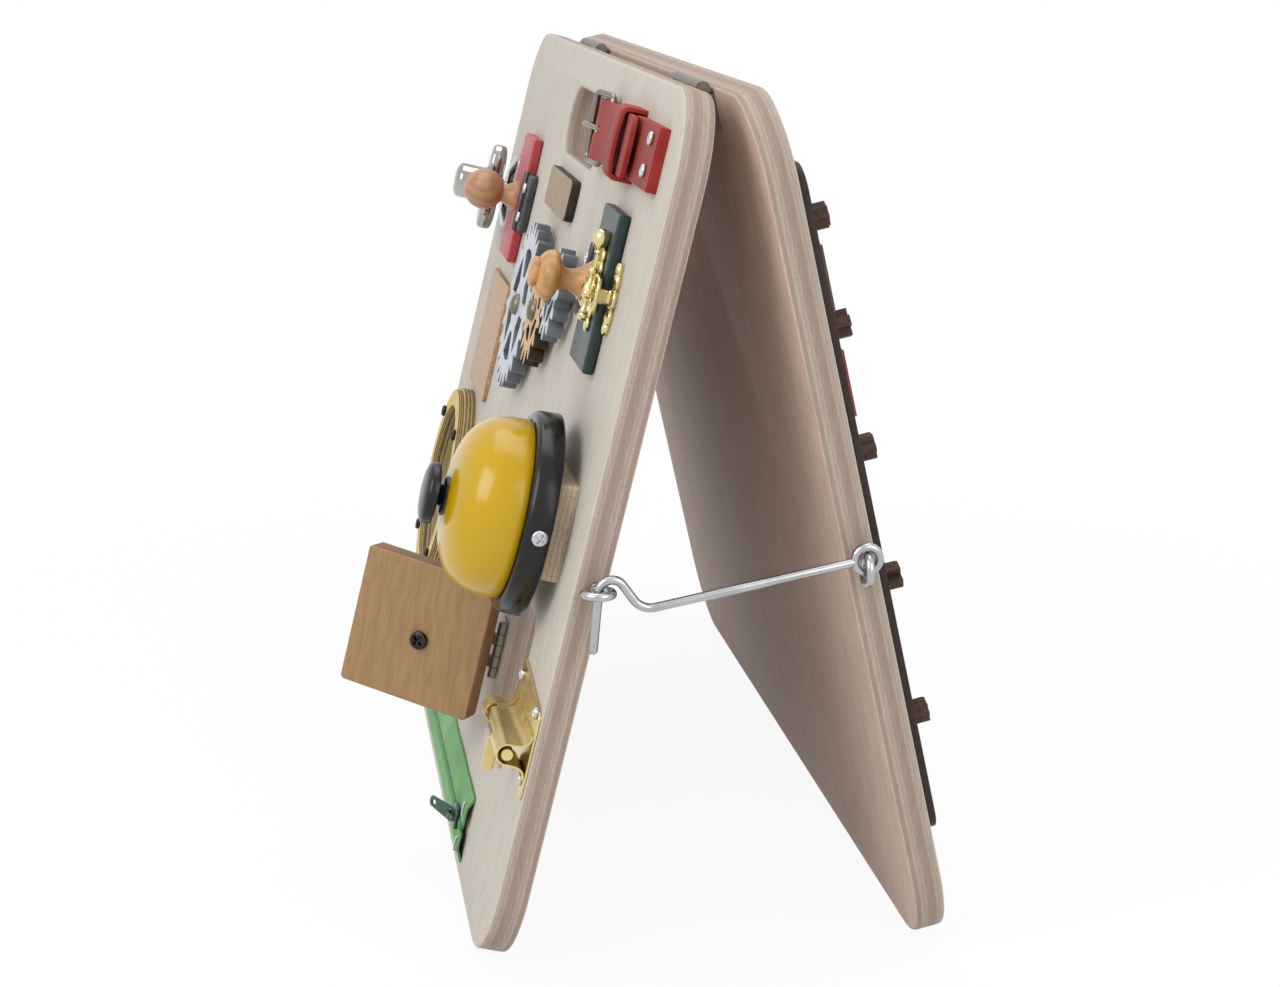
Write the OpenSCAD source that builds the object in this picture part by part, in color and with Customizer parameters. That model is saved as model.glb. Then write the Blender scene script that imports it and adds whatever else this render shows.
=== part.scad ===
// Folding wooden busy board: two birch plywood boards joined along the top by butt hinges and
// held open like a tent by a hook and two screw eyes. The front board carries the activities.
// Millimetres. X runs along the boards, the activity face looks towards -Y, Z is up.

/* [Boards] */
// Length of both boards along the fold
board_w = 500; // [300:1:800]
// Height of both boards measured down their faces
board_l = 350; // [250:1:500]
// Plywood thickness
board_t = 12.5; // [9:0.5:18]
// Radius of the rounded corners
board_corner = 35; // [10:1:45]
// Angle between the two boards when the hook is on
fold_angle = 26.5; // [16:0.5:40]
// Space between the two inner faces at the top edge
fold_gap = 7.62; // [7.2:0.01:12]
// Length of the handle slot
slot_w = 114; // [90:1:140]
// Height of the handle slot
slot_h = 32; // [26:1:36]
// Distance from the top edge down to the middle of the handle slot
slot_v = 34; // [30:1:44]

/* [Window] */
// Side of the square window through the front board
window_w = 65; // [50:1:75]
// Corner radius of the window
window_corner = 7; // [3:0.5:12]
// Window centre to the near end of the board
window_edge = 93.5; // [85:0.5:110]
// Space between the window and the zip tape
window_gap = 27; // [8:0.5:40]

/* [Fold hinges] */
// Length of each butt hinge on the fold
fold_hinge_w = 63; // [40:1:80]
// Middle of each fold hinge to the end of the board
fold_hinge_edge = 104; // [80:1:140]
// How far a hinge leaf runs down the inner face
fold_leaf_l = 17; // [12:0.5:24]
// Leaf thickness
fold_leaf_t = 1.2; // [0.8:0.1:2]
// Outside diameter of the hinge barrel
fold_barrel_d = 6; // [5:0.1:6.8]
// Diameter of the hinge pin
fold_pin_d = 3; // [2.4:0.1:3.6]
// Diameter of the pin heads
fold_pin_head_d = 5; // [4:0.1:6]
// Thickness of the pin heads
fold_pin_head_t = 0.8; // [0.5:0.1:1.5]

/* [Hook and eyes] */
// Thickness of the hook and eye wire
wire_d = 3.5; // [2.5:0.1:4]
// Outside diameter of the screw eyes
eye_d = 14; // [12:0.5:16]
// Distance from the board's side edge to the middle of the eyes
eye_reach = 8.8; // [8.6:0.1:11]
// Length of the eye shanks inside the plywood
eye_shank = 18; // [12:1:25]
// Distance of the rear eye below the top edge
rear_eye_v = 182; // [170:1:195]
// Distance of the front eye below the top edge
front_eye_v = 188; // [175:1:200]
// Distance of the front eye's shank behind the activity face
front_eye_depth = 8; // [6:0.1:8.5]
// Outside diameter of the closed ring on the hook
hook_ring_d = 13; // [12:0.5:15]
// Low bend of the hook, measured from the front eye towards the rear
hook_low_y = 16.5; // [12:0.5:22]
// Low bend of the hook below the front eye
hook_low_z = 7; // [4:0.5:12]
// Corner of the gooseneck above the front eye
hook_top_z = 14; // [12:0.5:20]
// Corner of the gooseneck towards the rear from the front eye
hook_top_y = 1.2; // [0:0.1:3]
// End of the hook below the front eye
hook_end_z = 22; // [15:0.5:30]
// End of the hook towards the front from the front eye
hook_end_y = 1.8; // [0:0.1:3]
// Bend radius of the gooseneck
hook_top_r = 5; // [4:0.5:6]
// Bend radius of the low bend
hook_low_r = 8; // [5:0.5:12]

/* [Strap] */
// Strap width
strap_w = 25; // [20:1:30]
// Strap thickness
strap_t = 2.2; // [1.4:0.1:3]
// Strap centre below the top edge
strap_v = 28; // [24:0.5:32]
// Near end of the doubled strap piece to the end of the board
strap_edge = 28; // [20:1:40]
// Length of the doubled strap piece from its near end to the buckle bar
strap_len = 129; // [118:1:140]
// Screws of the doubled strap piece to its near end
strap_screw_back = 11; // [8:1:16]
// Rounded free tip of the holed strap piece to the near end of the doubled one
tip_back = 39; // [30:1:50]
// How far the free tip springs up from the doubled piece
tip_rise = 2; // [0:0.1:3]
// Corner radius of the free tip
tip_round = 6; // [2:0.5:12]
// Length of the holed strap piece that lies flat beyond the buckle
strap_stub = 10; // [8:1:16]
// Length of the prong slot in the holed strap piece
prong_slot = 16; // [14:0.5:20]
// Width of a strap loop
loop_w = 12; // [8:0.5:14]
// Middle of the first strap loop to the near end of the doubled piece
loop_back = 78; // [70:1:90]
// Distance between the two strap loops
loop_pitch = 14; // [13:0.5:24]
// Height of the loops above the board
loop_h = 10.6; // [10:0.1:13]

/* [Buckle] */
// Thickness of the buckle wire
buckle_wire_d = 3; // [2:0.1:3.5]
// Length of the buckle frame along the board
buckle_l = 23; // [20:0.5:28]
// Width of the buckle frame across the strap
buckle_w = 32.5; // [32:0.5:40]
// Lift of the buckle frame's far side, in degrees
buckle_lift = 4; // [3:0.5:8]
// Thickness of the buckle prong
prong_d = 2.4; // [1.6:0.1:3]

/* [Name block] */
// Length of the bare name block
name_w = 78; // [60:1:100]
// Height of the bare name block
name_l = 19; // [14:0.5:24]
// Thickness of the bare name block
name_t = 4.4; // [3:0.1:8]
// Middle of the name block, left of the board's middle
name_u = -4; // [-20:0.5:20]
// Middle of the name block below the top edge
name_v = 66.5; // [62:0.5:68]

/* [Gears] */
// Gear module
gear_module = 3; // [2:0.1:3.2]
// Number of teeth of the large metal gear
large_count = 25; // [20:1:30]
// Number of teeth of the wooden gear
wood_count = 15; // [12:1:18]
// Number of teeth of the small metal gear
small_count = 12; // [12:1:16]
// Pressure angle of the teeth
gear_pressure = 25; // [20:1:25]
// Play between meshing teeth
gear_play = 0.5; // [0.2:0.1:0.8]
// Gear thickness
gear_t = 7; // [4:0.1:9]
// Large gear centre, left of the board's middle
gear_u = -16; // [-30:0.5:0]
// Large gear centre below the top edge
gear_v = 124; // [122:0.5:130]
// Direction from the large gear to the wooden gear
gear_turn_wood = 6.5; // [0:0.5:15]
// Direction from the wooden gear to the small gear
gear_turn_small = 19.7; // [10:0.1:30]
// Diameter of the gear axles
axle_d = 8; // [6:0.1:10]
// Diameter of the collar under a gear
axle_collar_d = 14; // [12:0.5:18]
// Height of the collar under a gear
axle_collar_t = 2; // [1.5:0.1:3]
// Diameter of the axle head
axle_head_d = 13; // [11:0.5:16]
// Thickness of the axle head
axle_head_t = 3; // [2:0.1:5]

/* [Small doors] */
// Width of the green and the red door
leaf_w = 42; // [36:0.5:48]
// Height of the green and the red door
leaf_l = 65; // [55:0.5:72]
// Thickness of the green and the red door
leaf_t = 4.7; // [3:0.1:6]
// Left edge of the green door to the near end of the board
green_edge = 108.5; // [100:0.5:112]
// Middle of the green door below the top edge
green_v = 87; // [84:0.5:90]
// Right edge of the red door to the far end of the board
red_edge = 125; // [120:0.5:135]
// Space between the red door and the coloured board
red_gap = 11.5; // [6:0.5:20]
// Length of the small door hinges
leaf_hinge_l = 30; // [24:1:36]
// Width of the capsule shaped hinge block on the board
leaf_hinge_w = 10; // [8:0.5:14]
// Barrel diameter of the small door hinges
leaf_barrel_d = 3.4; // [3:0.1:4]
// Pin diameter of the small hinges
small_pin_d = 1.6; // [1.2:0.1:2]
// Thickness of the hinge leaf let into a door
leaf_hinge_t = 0.9; // [0.6:0.1:1.2]

/* [Turned knobs] */
// Largest diameter of the turned pine knobs
knob_d = 21; // [16:0.5:24]
// Height of the turned pine knobs
knob_h = 26; // [20:0.5:30]
// Ball diameter of the red door's knob
ball_d = 21; // [16:0.5:24]
// Height of the ball knob
ball_h = 28; // [24:0.5:32]

/* [Gold latch] */
// Length of the latch plate across the door
latch_w = 9; // [8:0.5:10]
// Height of the latch plate along the door
latch_l = 38; // [30:1:44]
// Thickness of the cast latch plates
latch_t = 1.6; // [1:0.1:2.4]
// Barrel diameter of the latch
latch_barrel_d = 3.6; // [3:0.1:4.4]
// Swinging hasp length
hasp_l = 20; // [16:0.5:22]
// Swinging hasp height
hasp_w = 16; // [12:0.5:20]
// Distance from the door's free edge back to the latch barrel
latch_back = 7; // [6:0.5:8]
// Diameter of the knob that the hasp drops over
catch_knob_d = 4.4; // [3:0.1:6]

/* [Tap] */
// Tap centre to the far end of the board
tap_edge = 45; // [35:0.5:52]
// Tap centre below the red door's middle
tap_drop = 3; // [-5:0.5:10]
// Diameter of the round tap base
tap_base_d = 40; // [34:0.5:46]
// Thickness of the round tap base
tap_base_t = 5; // [3:0.1:7]
// Diameter of the tap spindle
tap_spindle_d = 9; // [7:0.1:11]
// Height where the handle lobes start
tap_lobe_h = 8; // [7:0.1:10]
// Thickness of the handle lobes
tap_lobe_t = 8; // [5:0.1:10]
// Radius from the spindle to the middle of a lobe
tap_lobe_r = 16; // [13:0.5:18]
// Diameter of a handle lobe
tap_lobe_d = 15; // [11:0.5:17]
// Diameter of the tap hub
tap_hub_d = 19; // [16:0.5:22]
// Height of the tap hub above the board
tap_hub_h = 33; // [26:0.5:38]

/* [Picture board] */
// Width of the thin coloured board
picture_w = 75; // [60:1:90]
// Height of the thin coloured board
picture_l = 62; // [50:1:66]
// Thickness of the thin coloured board
picture_t = 2.4; // [1.5:0.1:4]
// Middle of the coloured board to the far end of the board
picture_edge = 98; // [85:0.5:110]
// Space between the coloured board and the porthole
picture_gap = 5; // [2:0.5:12]

/* [Porthole] */
// Outer diameter of the porthole ring
port_d = 106; // [90:1:112]
// Inner diameter of the porthole ring
port_hole_d = 88; // [70:1:92]
// Height of the lower ring layer
port_low_t = 6; // [4:0.1:8]
// Height of the upper ring layer
port_top_t = 3; // [2:0.1:5]
// Porthole centre to the far end of the board
port_edge = 79; // [70:0.5:90]
// Space between the porthole and the zip tape
port_gap = 12; // [5:0.5:14]
// Thickness of the mirror disc
mirror_t = 2; // [1:0.1:3]
// Diameter of the ring bolt heads
port_bolt_d = 6; // [4:0.1:7]
// Height of the ring bolt heads
port_bolt_t = 2.2; // [1:0.1:3]

/* [Desk bell] */
// Bell axis to the near end of the board
bell_edge = 68.5; // [60:0.5:75]
// Bell axis below the top edge
bell_v = 178.5; // [175:0.5:180]
// Length of the plywood block under the bell
bell_block_w = 67; // [50:1:76]
// Height of the plywood block under the bell
bell_block_l = 39; // [30:1:50]
// Thickness of the plywood block
bell_block_t = 8; // [5:0.5:12]
// Radius of the bell base at its lower rim
bell_base_r = 42.4; // [38:0.1:43]
// Radius of the bell base at its upper rim
bell_rim_r = 43.8; // [39:0.1:44]
// Height of the bell base up to its upper rim
bell_base_t = 11.5; // [8:0.1:14]
// Height of the slanted step between base and dome
bell_step = 2.5; // [1.5:0.1:4]
// Sheet thickness of the base and the dome
bell_sheet = 1.4; // [1:0.1:2]
// Radius of the bell dome
dome_r = 39; // [34:0.1:40]
// Height of the bell dome
dome_h = 24.5; // [20:0.1:28]
// Roundness of the dome, two is an ellipse
dome_power = 2.3; // [2:0.05:2.6]
// Diameter of the collar on the dome
collar_d = 16; // [13:0.5:20]
// Thickness of the collar on the dome
collar_t = 2; // [1.5:0.1:3]
// Diameter of the button stem
stem_d = 8.5; // [6:0.1:10]
// Stem length that shows between collar and button
stem_show = 2.1; // [1.8:0.1:4]
// Diameter of the bell button
button_d = 25; // [20:0.5:28]
// Thickness of the bell button
button_t = 5.9; // [4:0.1:8]
// Stroke of the bell button
button_stroke = 1.8; // [1:0.1:2]
// Diameter of the foot that stops the stem inside the dome
stem_foot_d = 12; // [11:0.5:15]
// Diameter of the screw on the side of the bell base
bell_screw_d = 6.5; // [5:0.1:8]
// Height of the screw head on the side of the bell base
bell_screw_t = 2; // [1:0.1:3]

/* [Window door] */
// Side of the inset square door
door_w = 61.5; // [46:0.5:71]
// Thickness of the inset door
door_t = 11.5; // [8:0.5:12]
// Corner radius of the inset door
door_corner = 3; // [1:0.5:8]
// How far the inset door stands open in degrees
door_open = 119.4; // [0:0.1:140]
// Length of the inset door's hinge
door_hinge_l = 25; // [18:1:35]
// Width of one leaf of the inset door's hinge
door_hinge_w = 12; // [8:0.5:16]
// Thickness of the inset door's hinge leaves
door_hinge_t = 1; // [0.6:0.1:1.5]
// Barrel diameter of the inset door's hinge
door_barrel_d = 4; // [3.2:0.1:5]
// Diameter of the screw in the middle of the inset door
door_screw_d = 8; // [6:0.1:10]
// Height of that screw's head
door_screw_t = 2; // [1:0.1:3]

/* [Brass bolt] */
// Length of the stamped bolt plate
bolt_plate_w = 60; // [50:1:60]
// Height of the stamped bolt plate
bolt_plate_l = 38; // [30:1:44]
// Sheet thickness of the bolt
bolt_sheet = 1; // [0.8:0.1:1.6]
// Space between the window and the bolt plate
bolt_gap = 0.5; // [0.5:0.5:3]
// Middle of the bolt plate below the middle of the window
bolt_low = 1.5; // [-4:0.5:8]
// Bolt rod below the middle of its plate
bolt_drop = 3.5; // [0:0.5:6]
// Height of the rod's axis above the board
bolt_h = 9.5; // [7:0.1:12]
// Rod diameter
bolt_rod_d = 5.2; // [4:0.1:7]
// Outside diameter of the rolled guides
bolt_guide_d = 8.5; // [7:0.1:10]
// Length of the far guide
bolt_guide_far = 10; // [7:0.5:12]
// Length of the near guide
bolt_guide_near = 22; // [18:0.5:24]
// Stroke of the rod
bolt_stroke = 13; // [8:0.5:15]
// Diameter of the rod's handle peg
bolt_peg_d = 4; // [3:0.1:5]
// Height of the rod's handle peg above the axis
bolt_peg_l = 10; // [8:0.5:16]

/* [Zip] */
// Far end of the zip
zip_far_u = -150; // [-200:1:-100]
// Near end of the zip
zip_near_u = 148; // [120:1:180]
// Middle line of the zip to the bottom edge of the board
zip_edge = 21; // [19:0.5:25]
// Width of the whole zip tape
zip_w = 30; // [24:0.5:32]
// Tape thickness
zip_tape_t = 1.2; // [0.8:0.1:1.6]
// Height of the tape's raised inner edges
zip_rise = 2.2; // [1.8:0.1:3]
// Width of the closed chain of teeth
chain_w = 4; // [3:0.1:6]
// Thickness of the closed chain of teeth
chain_t = 2.4; // [1.6:0.1:3]
// Length of the slider along the zip
slider_l = 13; // [10:0.5:16]
// Width of the slider across the zip
slider_w = 10; // [8:0.5:12]
// Plate thickness of the slider
slider_t = 1; // [0.8:0.1:1.4]
// Middle of the slider to the near end of the zip
slider_back = 16; // [12:0.5:38]
// Length of the pull tab
pull_l = 18; // [12:0.5:24]
// Width of the pull tab
pull_w = 7; // [5:0.5:9]
// Travel of the slider along the chain
slider_travel = 240; // [100:1:250]
// Width of the staples over the ends of the zip
staple_w = 12; // [8:0.5:16]
// Thickness of the staple wire
staple_d = 1; // [0.8:0.1:1.4]

/* [Rear face] */
// Thin plate on the rear board to the board's ends
rear_plate_edge = 3; // [3:1:60]
// Thin plate on the rear board to the board's bottom edge
rear_plate_low = 50; // [30:1:80]
// Thickness of the thin plate on the rear board
rear_plate_t = 3.3; // [2:0.1:4]
// Top edge of the thin plate below the board's top edge
rear_plate_v = 28; // [20:1:40]
// Corner radius of the thin plate
rear_plate_corner = 10; // [2:0.5:20]
// Space left round the handle slot
rear_notch = 8; // [4:0.5:12]
// Width across the five small blocks
shape_d = 10.5; // [8:0.1:13]
// Height of the five small blocks
shape_t = 6; // [4:0.1:9]
// Line of the five small blocks to the near end of the board
shape_edge = 9.5; // [9:0.5:25]
// First block below the top edge
shape_v = 49; // [45:0.5:55]
// Distance from the first block to the last
shape_span = 201; // [195:0.5:210]
// Width of the two painted strips
strip_w = 20; // [8:0.5:30]
// Height of the two painted strips
strip_l = 26; // [20:0.5:27]
// Thickness of the two painted strips
strip_t = 1; // [0.5:0.1:2]
// Middle of the first strip below the top edge
strip_v = 72; // [71:0.5:72]
// Distance between the two strips
strip_pitch = 41; // [40:0.5:43]
// Line of the strips to the near end of the board
strip_edge = 14; // [13:0.5:50]

/* [Small screws] */
// Head diameter of the small zinc screws
screw_head_d = 5.4; // [4:0.1:6.4]
// Head height of the small zinc screws
screw_head_t = 1.5; // [1:0.1:2.4]
// Shank diameter of the small zinc screws
screw_d = 2.4; // [2:0.1:3.2]
// Shank length of the small zinc screws in the wood
screw_l = 8; // [5:0.5:10]

/* [Fits] */
// Space left between pieces that move past each other
move_gap = 0.3; // [0.2:0.05:0.5]
// Radial play of pins, stems and rods in their holes
pin_fit = 0.06; // [0.04:0.01:0.1]
// Overrun of every cut past the faces it opens
over = 2; // [1:0.5:4]

/* [Hidden] */
$fn = 64;
window_u = board_w / 2 - window_edge;
zip_v = board_l - zip_edge;
window_v = zip_v - zip_w / 2 - window_gap - window_w / 2;
fold_hinge_u = board_w / 2 - fold_hinge_edge;
strap_near_u = board_w / 2 - strap_edge;
strap_bar_u = strap_near_u - strap_len;
strap_tip_u = strap_near_u - tip_back;
strap_far_u = strap_bar_u - buckle_l - strap_stub;
strap_sleeve_d = buckle_wire_d + 2 * strap_t;
loop_u = strap_near_u - loop_back;
green_u = board_w / 2 - green_edge;
port_u = port_edge - board_w / 2;
port_v = zip_v - zip_w / 2 - port_gap - port_d / 2;
picture_u = picture_edge - board_w / 2;
picture_v = port_v - port_d / 2 - picture_gap - picture_l / 2;
red_u = red_edge - board_w / 2;
red_v = picture_v - picture_l / 2 - red_gap - leaf_l / 2;
tap_u = tap_edge - board_w / 2;
tap_v = red_v + tap_drop;
bell_u = board_w / 2 - bell_edge;
bolt_u = window_u + window_w / 2 + bolt_gap;
bolt_v = window_v + bolt_low;
slider_u = zip_near_u - slider_back;
rear_plate_w = board_w - 2 * rear_plate_edge;
rear_plate_l = board_l - rear_plate_v - rear_plate_low;
shape_u = board_w / 2 - shape_edge;
strip_u = board_w / 2 - strip_edge;
tilt = fold_angle / 2;
crest = board_l * cos(tilt);
axis_off = fold_gap / 2 / cos(tilt);
axis_z = crest - axis_off * sin(tilt);
rear_eye_y = fold_gap / 2 + rear_eye_v * sin(tilt) + board_t / 2 * cos(tilt);
rear_eye_z = crest - rear_eye_v * cos(tilt) + board_t / 2 * sin(tilt);
front_eye_y = -fold_gap / 2 - front_eye_v * sin(tilt) - (board_t - front_eye_depth) * cos(tilt);
front_eye_z = crest - front_eye_v * cos(tilt) + (board_t - front_eye_depth) * sin(tilt);
eye_r = (eye_d - wire_d) / 2;
ring_r = (hook_ring_d - wire_d) / 2;
hook_z = rear_eye_z + eye_d / 2 - ring_r + wire_d / 2 + pin_fit;
door_axis_u = window_u - window_w / 2 + (window_w - door_w) / 2 - door_barrel_d / 2 + pin_fit;
door_axis_h = door_barrel_d / 2 + move_gap;
door_du = door_barrel_d / 2 - pin_fit;
door_low_r = door_corner * sqrt(pow(sin(tilt), 2) + pow(cos(tilt) * sin(door_open), 2));
door_far = (door_du + door_w - door_corner) * sin(door_open) - (door_axis_h + door_t) * cos(door_open);
door_low_y = (window_v + door_w / 2 - door_corner) * sin(tilt)
    + (board_t + door_axis_h + door_far) * cos(tilt);
y_min = -fold_gap / 2 - door_low_y - door_low_r;
y_max = fold_gap / 2 + board_l * sin(tilt) + board_t * cos(tilt);
shift_x = -(eye_reach + eye_d / 2) / 2;
shift_y = -(y_min + y_max) / 2;

gear_wood_x = gear_u + gear_module * (large_count + wood_count) / 2 * cos(gear_turn_wood);
gear_wood_v = gear_v - gear_module * (large_count + wood_count) / 2 * sin(gear_turn_wood);
gear_small_x = gear_wood_x + gear_module * (wood_count + small_count) / 2 * cos(gear_turn_small);
gear_small_v = gear_wood_v - gear_module * (wood_count + small_count) / 2 * sin(gear_turn_small);
phase_wood = gear_turn_wood + 180 - 180 / wood_count + gear_turn_wood * large_count / wood_count;
phase_small = gear_turn_small + 180 - 180 / small_count
    - (phase_wood - gear_turn_small) * wood_count / small_count;
addendum_share = 0.85;
dedendum_share = 1.1;
window_out_share = 0.72;
window_in_share = 0.36;
spoke_share = 0.17;
bell_top = bell_block_t + bell_base_t + bell_step + dome_h;
button_h = bell_top + collar_t + stem_show;
leaf_axis_h = leaf_t + move_gap;
leaf_axis_out = leaf_barrel_d / 2 + move_gap;
zip_mid_u = (zip_far_u + zip_near_u) / 2;
zip_len = zip_near_u - zip_far_u;
chain_h = zip_rise + (chain_t - zip_tape_t) / 2;
bolt_mid_u = bolt_u + bolt_plate_w / 2;
bolt_rod_v = bolt_v + bolt_drop;
bolt_peg_u = bolt_u + bolt_plate_w - bolt_guide_near - bolt_peg_d;
knob_shares = [[0, 0], [0.95, 0], [0.95, 0.05], [0.78, 0.12], [0.56, 0.21], [0.44, 0.32], [0.42, 0.42],
    [0.5, 0.5], [0.84, 0.57], [1, 0.63], [1, 0.7], [0.93, 0.79], [0.74, 0.86], [0.58, 0.88], [0.56, 0.95],
    [0.4, 1], [0, 1]];
ball_foot_shares = [[0, 0], [0.76, 0], [0.76, 0.06], [0.62, 0.12], [0.46, 0.22], [0.4, 0.34], [0.46, 0.44],
    [0.3, 0.5], [0, 0.5]];
shape_shares = [0, 0.209, 0.453, 0.716, 1];
hasp_z = latch_t + latch_barrel_d / 2 + move_gap;
zinc_spots = [
    [strap_near_u - strap_screw_back, strap_v - strap_w / 4, strap_t * 2],
    [strap_near_u - strap_screw_back, strap_v + strap_w / 4, strap_t * 2],
    [strap_far_u + screw_head_d * 0.8, strap_v, strap_t],
    [bolt_u + screw_head_d, bolt_v - bolt_plate_l / 2 + screw_head_d, bolt_sheet],
    [bolt_u + screw_head_d, bolt_v + bolt_plate_l / 2 - screw_head_d, bolt_sheet],
    [bolt_u + bolt_plate_w - screw_head_d, bolt_v - bolt_plate_l / 2 + screw_head_d, bolt_sheet],
    [bolt_u + bolt_plate_w - screw_head_d, bolt_v + bolt_plate_l / 2 - screw_head_d, bolt_sheet],
    [green_u - leaf_axis_out - leaf_barrel_d / 2 - leaf_hinge_w / 2, green_v - leaf_hinge_l / 4, leaf_t],
    [green_u - leaf_axis_out - leaf_barrel_d / 2 - leaf_hinge_w / 2, green_v + leaf_hinge_l / 4, leaf_t],
    [red_u + leaf_axis_out + leaf_barrel_d / 2 + leaf_hinge_w / 2, red_v - leaf_hinge_l / 4, leaf_t],
    [red_u + leaf_axis_out + leaf_barrel_d / 2 + leaf_hinge_w / 2, red_v + leaf_hinge_l / 4, leaf_t]];

// Places the whole model with its box centred over the origin
module place() {
    translate([shift_x, shift_y, 0]) children();
}

// Frame of the activity face: x along the board, y up the face, z outwards, origin at the top edge
module on_front() {
    place()
        translate([0, -fold_gap / 2 - board_t * cos(tilt), crest + board_t * sin(tilt)])
            rotate([90 - tilt, 0, 0]) children();
}

// Frame of the rear board's outer face, x still along the board
module on_rear() {
    place()
        mirror([0, 1, 0])
            translate([0, -fold_gap / 2 - board_t * cos(tilt), crest + board_t * sin(tilt)])
                rotate([90 - tilt, 0, 0]) children();
}

// Moves to a spot given along the board, down the face and outwards
module at(u, v, h) {
    translate([u, -v, h]) children();
}

// Flat plate with round corners, centred, standing on its lower face
module plate(w, l, t, r) {
    linear_extrude(t) {
        square([w - 2 * r, l], center = true);
        if (l > 2 * r + pin_fit) square([w, l - 2 * r], center = true);
        for (x = [-1, 1], y = [-1, 1])
            translate([x * (w / 2 - r), y * (l / 2 - r)]) circle(r);
    }
}

// Straight bar of round wire between two points of one plane, let a little into the bends
module wire_bar(a, b, d) {
    translate([a[0], a[1], 0])
        rotate([0, 0, atan2(b[1] - a[1], b[0] - a[0])])
            translate([-d * 0.1, 0, 0])
                rotate([0, 90, 0]) cylinder(d = d * 0.98, h = norm(b - a) + d * 0.2);
}

// Bent wire through corner b between a and c, drawn as the arc only
module wire_bend(a, b, c, r, d) {
    p = (a - b) / norm(a - b);
    q = (c - b) / norm(c - b);
    half = acos(p * q) / 2;
    mid = (p + q) / norm(p + q);
    centre = b + mid * r / sin(half);
    first = b + p * r / tan(half) - centre;
    last = b + q * r / tan(half) - centre;
    side = first[0] * last[1] - first[1] * last[0];
    from = side > 0 ? first : last;
    translate([centre[0], centre[1], 0])
        rotate([0, 0, atan2(from[1], from[0])])
            rotate_extrude(angle = 180 - 2 * half) translate([r, 0]) circle(d = d);
}

function bend_start(a, b, c, r) =
    b + (a - b) / norm(a - b) * r / tan(acos((a - b) * (c - b) / norm(a - b) / norm(c - b)) / 2);

// One screw: head on the surface, shank below it
module screw(head_d, head_t, shank_d, shank_l) {
    difference() {
        union() {
            cylinder(d = head_d, h = head_t / 2);
            translate([0, 0, head_t / 2]) cylinder(d1 = head_d, d2 = head_d * 0.7, h = head_t / 2);
        }
        for (a = [0, 90])
            rotate([0, 0, a]) translate([0, 0, head_t])
                cube([head_d * 0.6, head_d * 0.14, head_t], center = true);
    }
    translate([0, 0, -shank_l]) cylinder(d = shank_d, h = shank_l);
}

// Holes for all small zinc screws
module zinc_holes() {
    for (s = zinc_spots)
        at(s[0], s[1], -screw_l - over) cylinder(d = screw_d + 2 * pin_fit, h = screw_l + over * 6);
}

// Holes for the gear axles, the tap, the ring bolts and the bell screw line
module peg_holes() {
    for (p = [[gear_u, gear_v], [gear_wood_x, gear_wood_v], [gear_small_x, gear_small_v], [tap_u, tap_v]])
        at(p[0], p[1], -board_t * 0.6) cylinder(d = axle_d * 0.6 + 2 * pin_fit, h = board_t);
}

function flank(teeth, r) =
    90 / teeth - gear_play / (gear_module * teeth) * 90 / PI
    + (tan(gear_pressure) * 180 / PI - gear_pressure)
    - (tan(roll(teeth, r)) * 180 / PI - roll(teeth, r));
function roll(teeth, r) = acos(min(1, gear_module * teeth / 2 * cos(gear_pressure) / r));
function gear_radii(teeth) =
    let (low = gear_module * (teeth / 2 - dedendum_share), high = gear_module * (teeth / 2 + addendum_share))
    [for (i = [0:4]) low + (high - low) * i / 4];

// Outline of a spur gear with involute flanks, one tooth centred on the given angle
module gear_outline(teeth, phase) {
    radii = gear_radii(teeth);
    polygon([for (k = [0:teeth - 1], i = [0:9])
        let (r = i < 5 ? radii[i] : radii[9 - i],
             turn = phase + k * 360 / teeth + (i < 5 ? -1 : 1) * flank(teeth, r))
        [r * cos(turn), r * sin(turn)]]);
}

// Openings between the spokes of a gear
module gear_windows(teeth, count) {
    pitch_r = gear_module * teeth / 2;
    for (k = [0:count - 1])
        polygon([for (i = [0:9])
            let (r = pitch_r * (i < 5 ? window_out_share : window_in_share),
                 half = 180 / count - asin(spoke_share * pitch_r / 2 / r),
                 turn = (k + 0.5) * 360 / count + half * (i < 5 ? i / 2 - 1 : 1 - (i - 5) / 2))
            [r * cos(turn), r * sin(turn)]]);
}

// One gear with its teeth, bore and openings, standing on its lower face
module spoked_gear(teeth, phase, count) {
    difference() {
        linear_extrude(gear_t) gear_outline(teeth, phase);
        translate([0, 0, -over]) cylinder(d = axle_d + 2 * pin_fit, h = gear_t + 2 * over);
        translate([0, 0, -over]) linear_extrude(gear_t + 2 * over) gear_windows(teeth, count);
    }
}

// Barrel of a hinge along y: every second length belongs to one leaf
module barrel(len, d, count, first) {
    for (i = [first:2:count - 1])
        translate([0, -len / 2 + len * i / count + move_gap / 2, 0])
            rotate([-90, 0, 0]) cylinder(d = d, h = len / count - move_gap);
}

// The two boards

module front_board() {
    color("#d9cbb4") on_front()
        difference() {
            at(0, board_l / 2, -board_t) plate(board_w, board_l, board_t, board_corner);
            at(0, slot_v, -board_t - over) plate(slot_w, slot_h, board_t + 2 * over, slot_h / 2);
            at(window_u, window_v, -board_t - over)
                plate(window_w, window_w, board_t + 2 * over, window_corner);
            zinc_holes();
            peg_holes();
            at(board_w / 2 - eye_shank, front_eye_v, -front_eye_depth)
                rotate([0, 90, 0]) cylinder(d = wire_d + 2 * pin_fit, h = eye_shank + over);
        }
}

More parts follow.
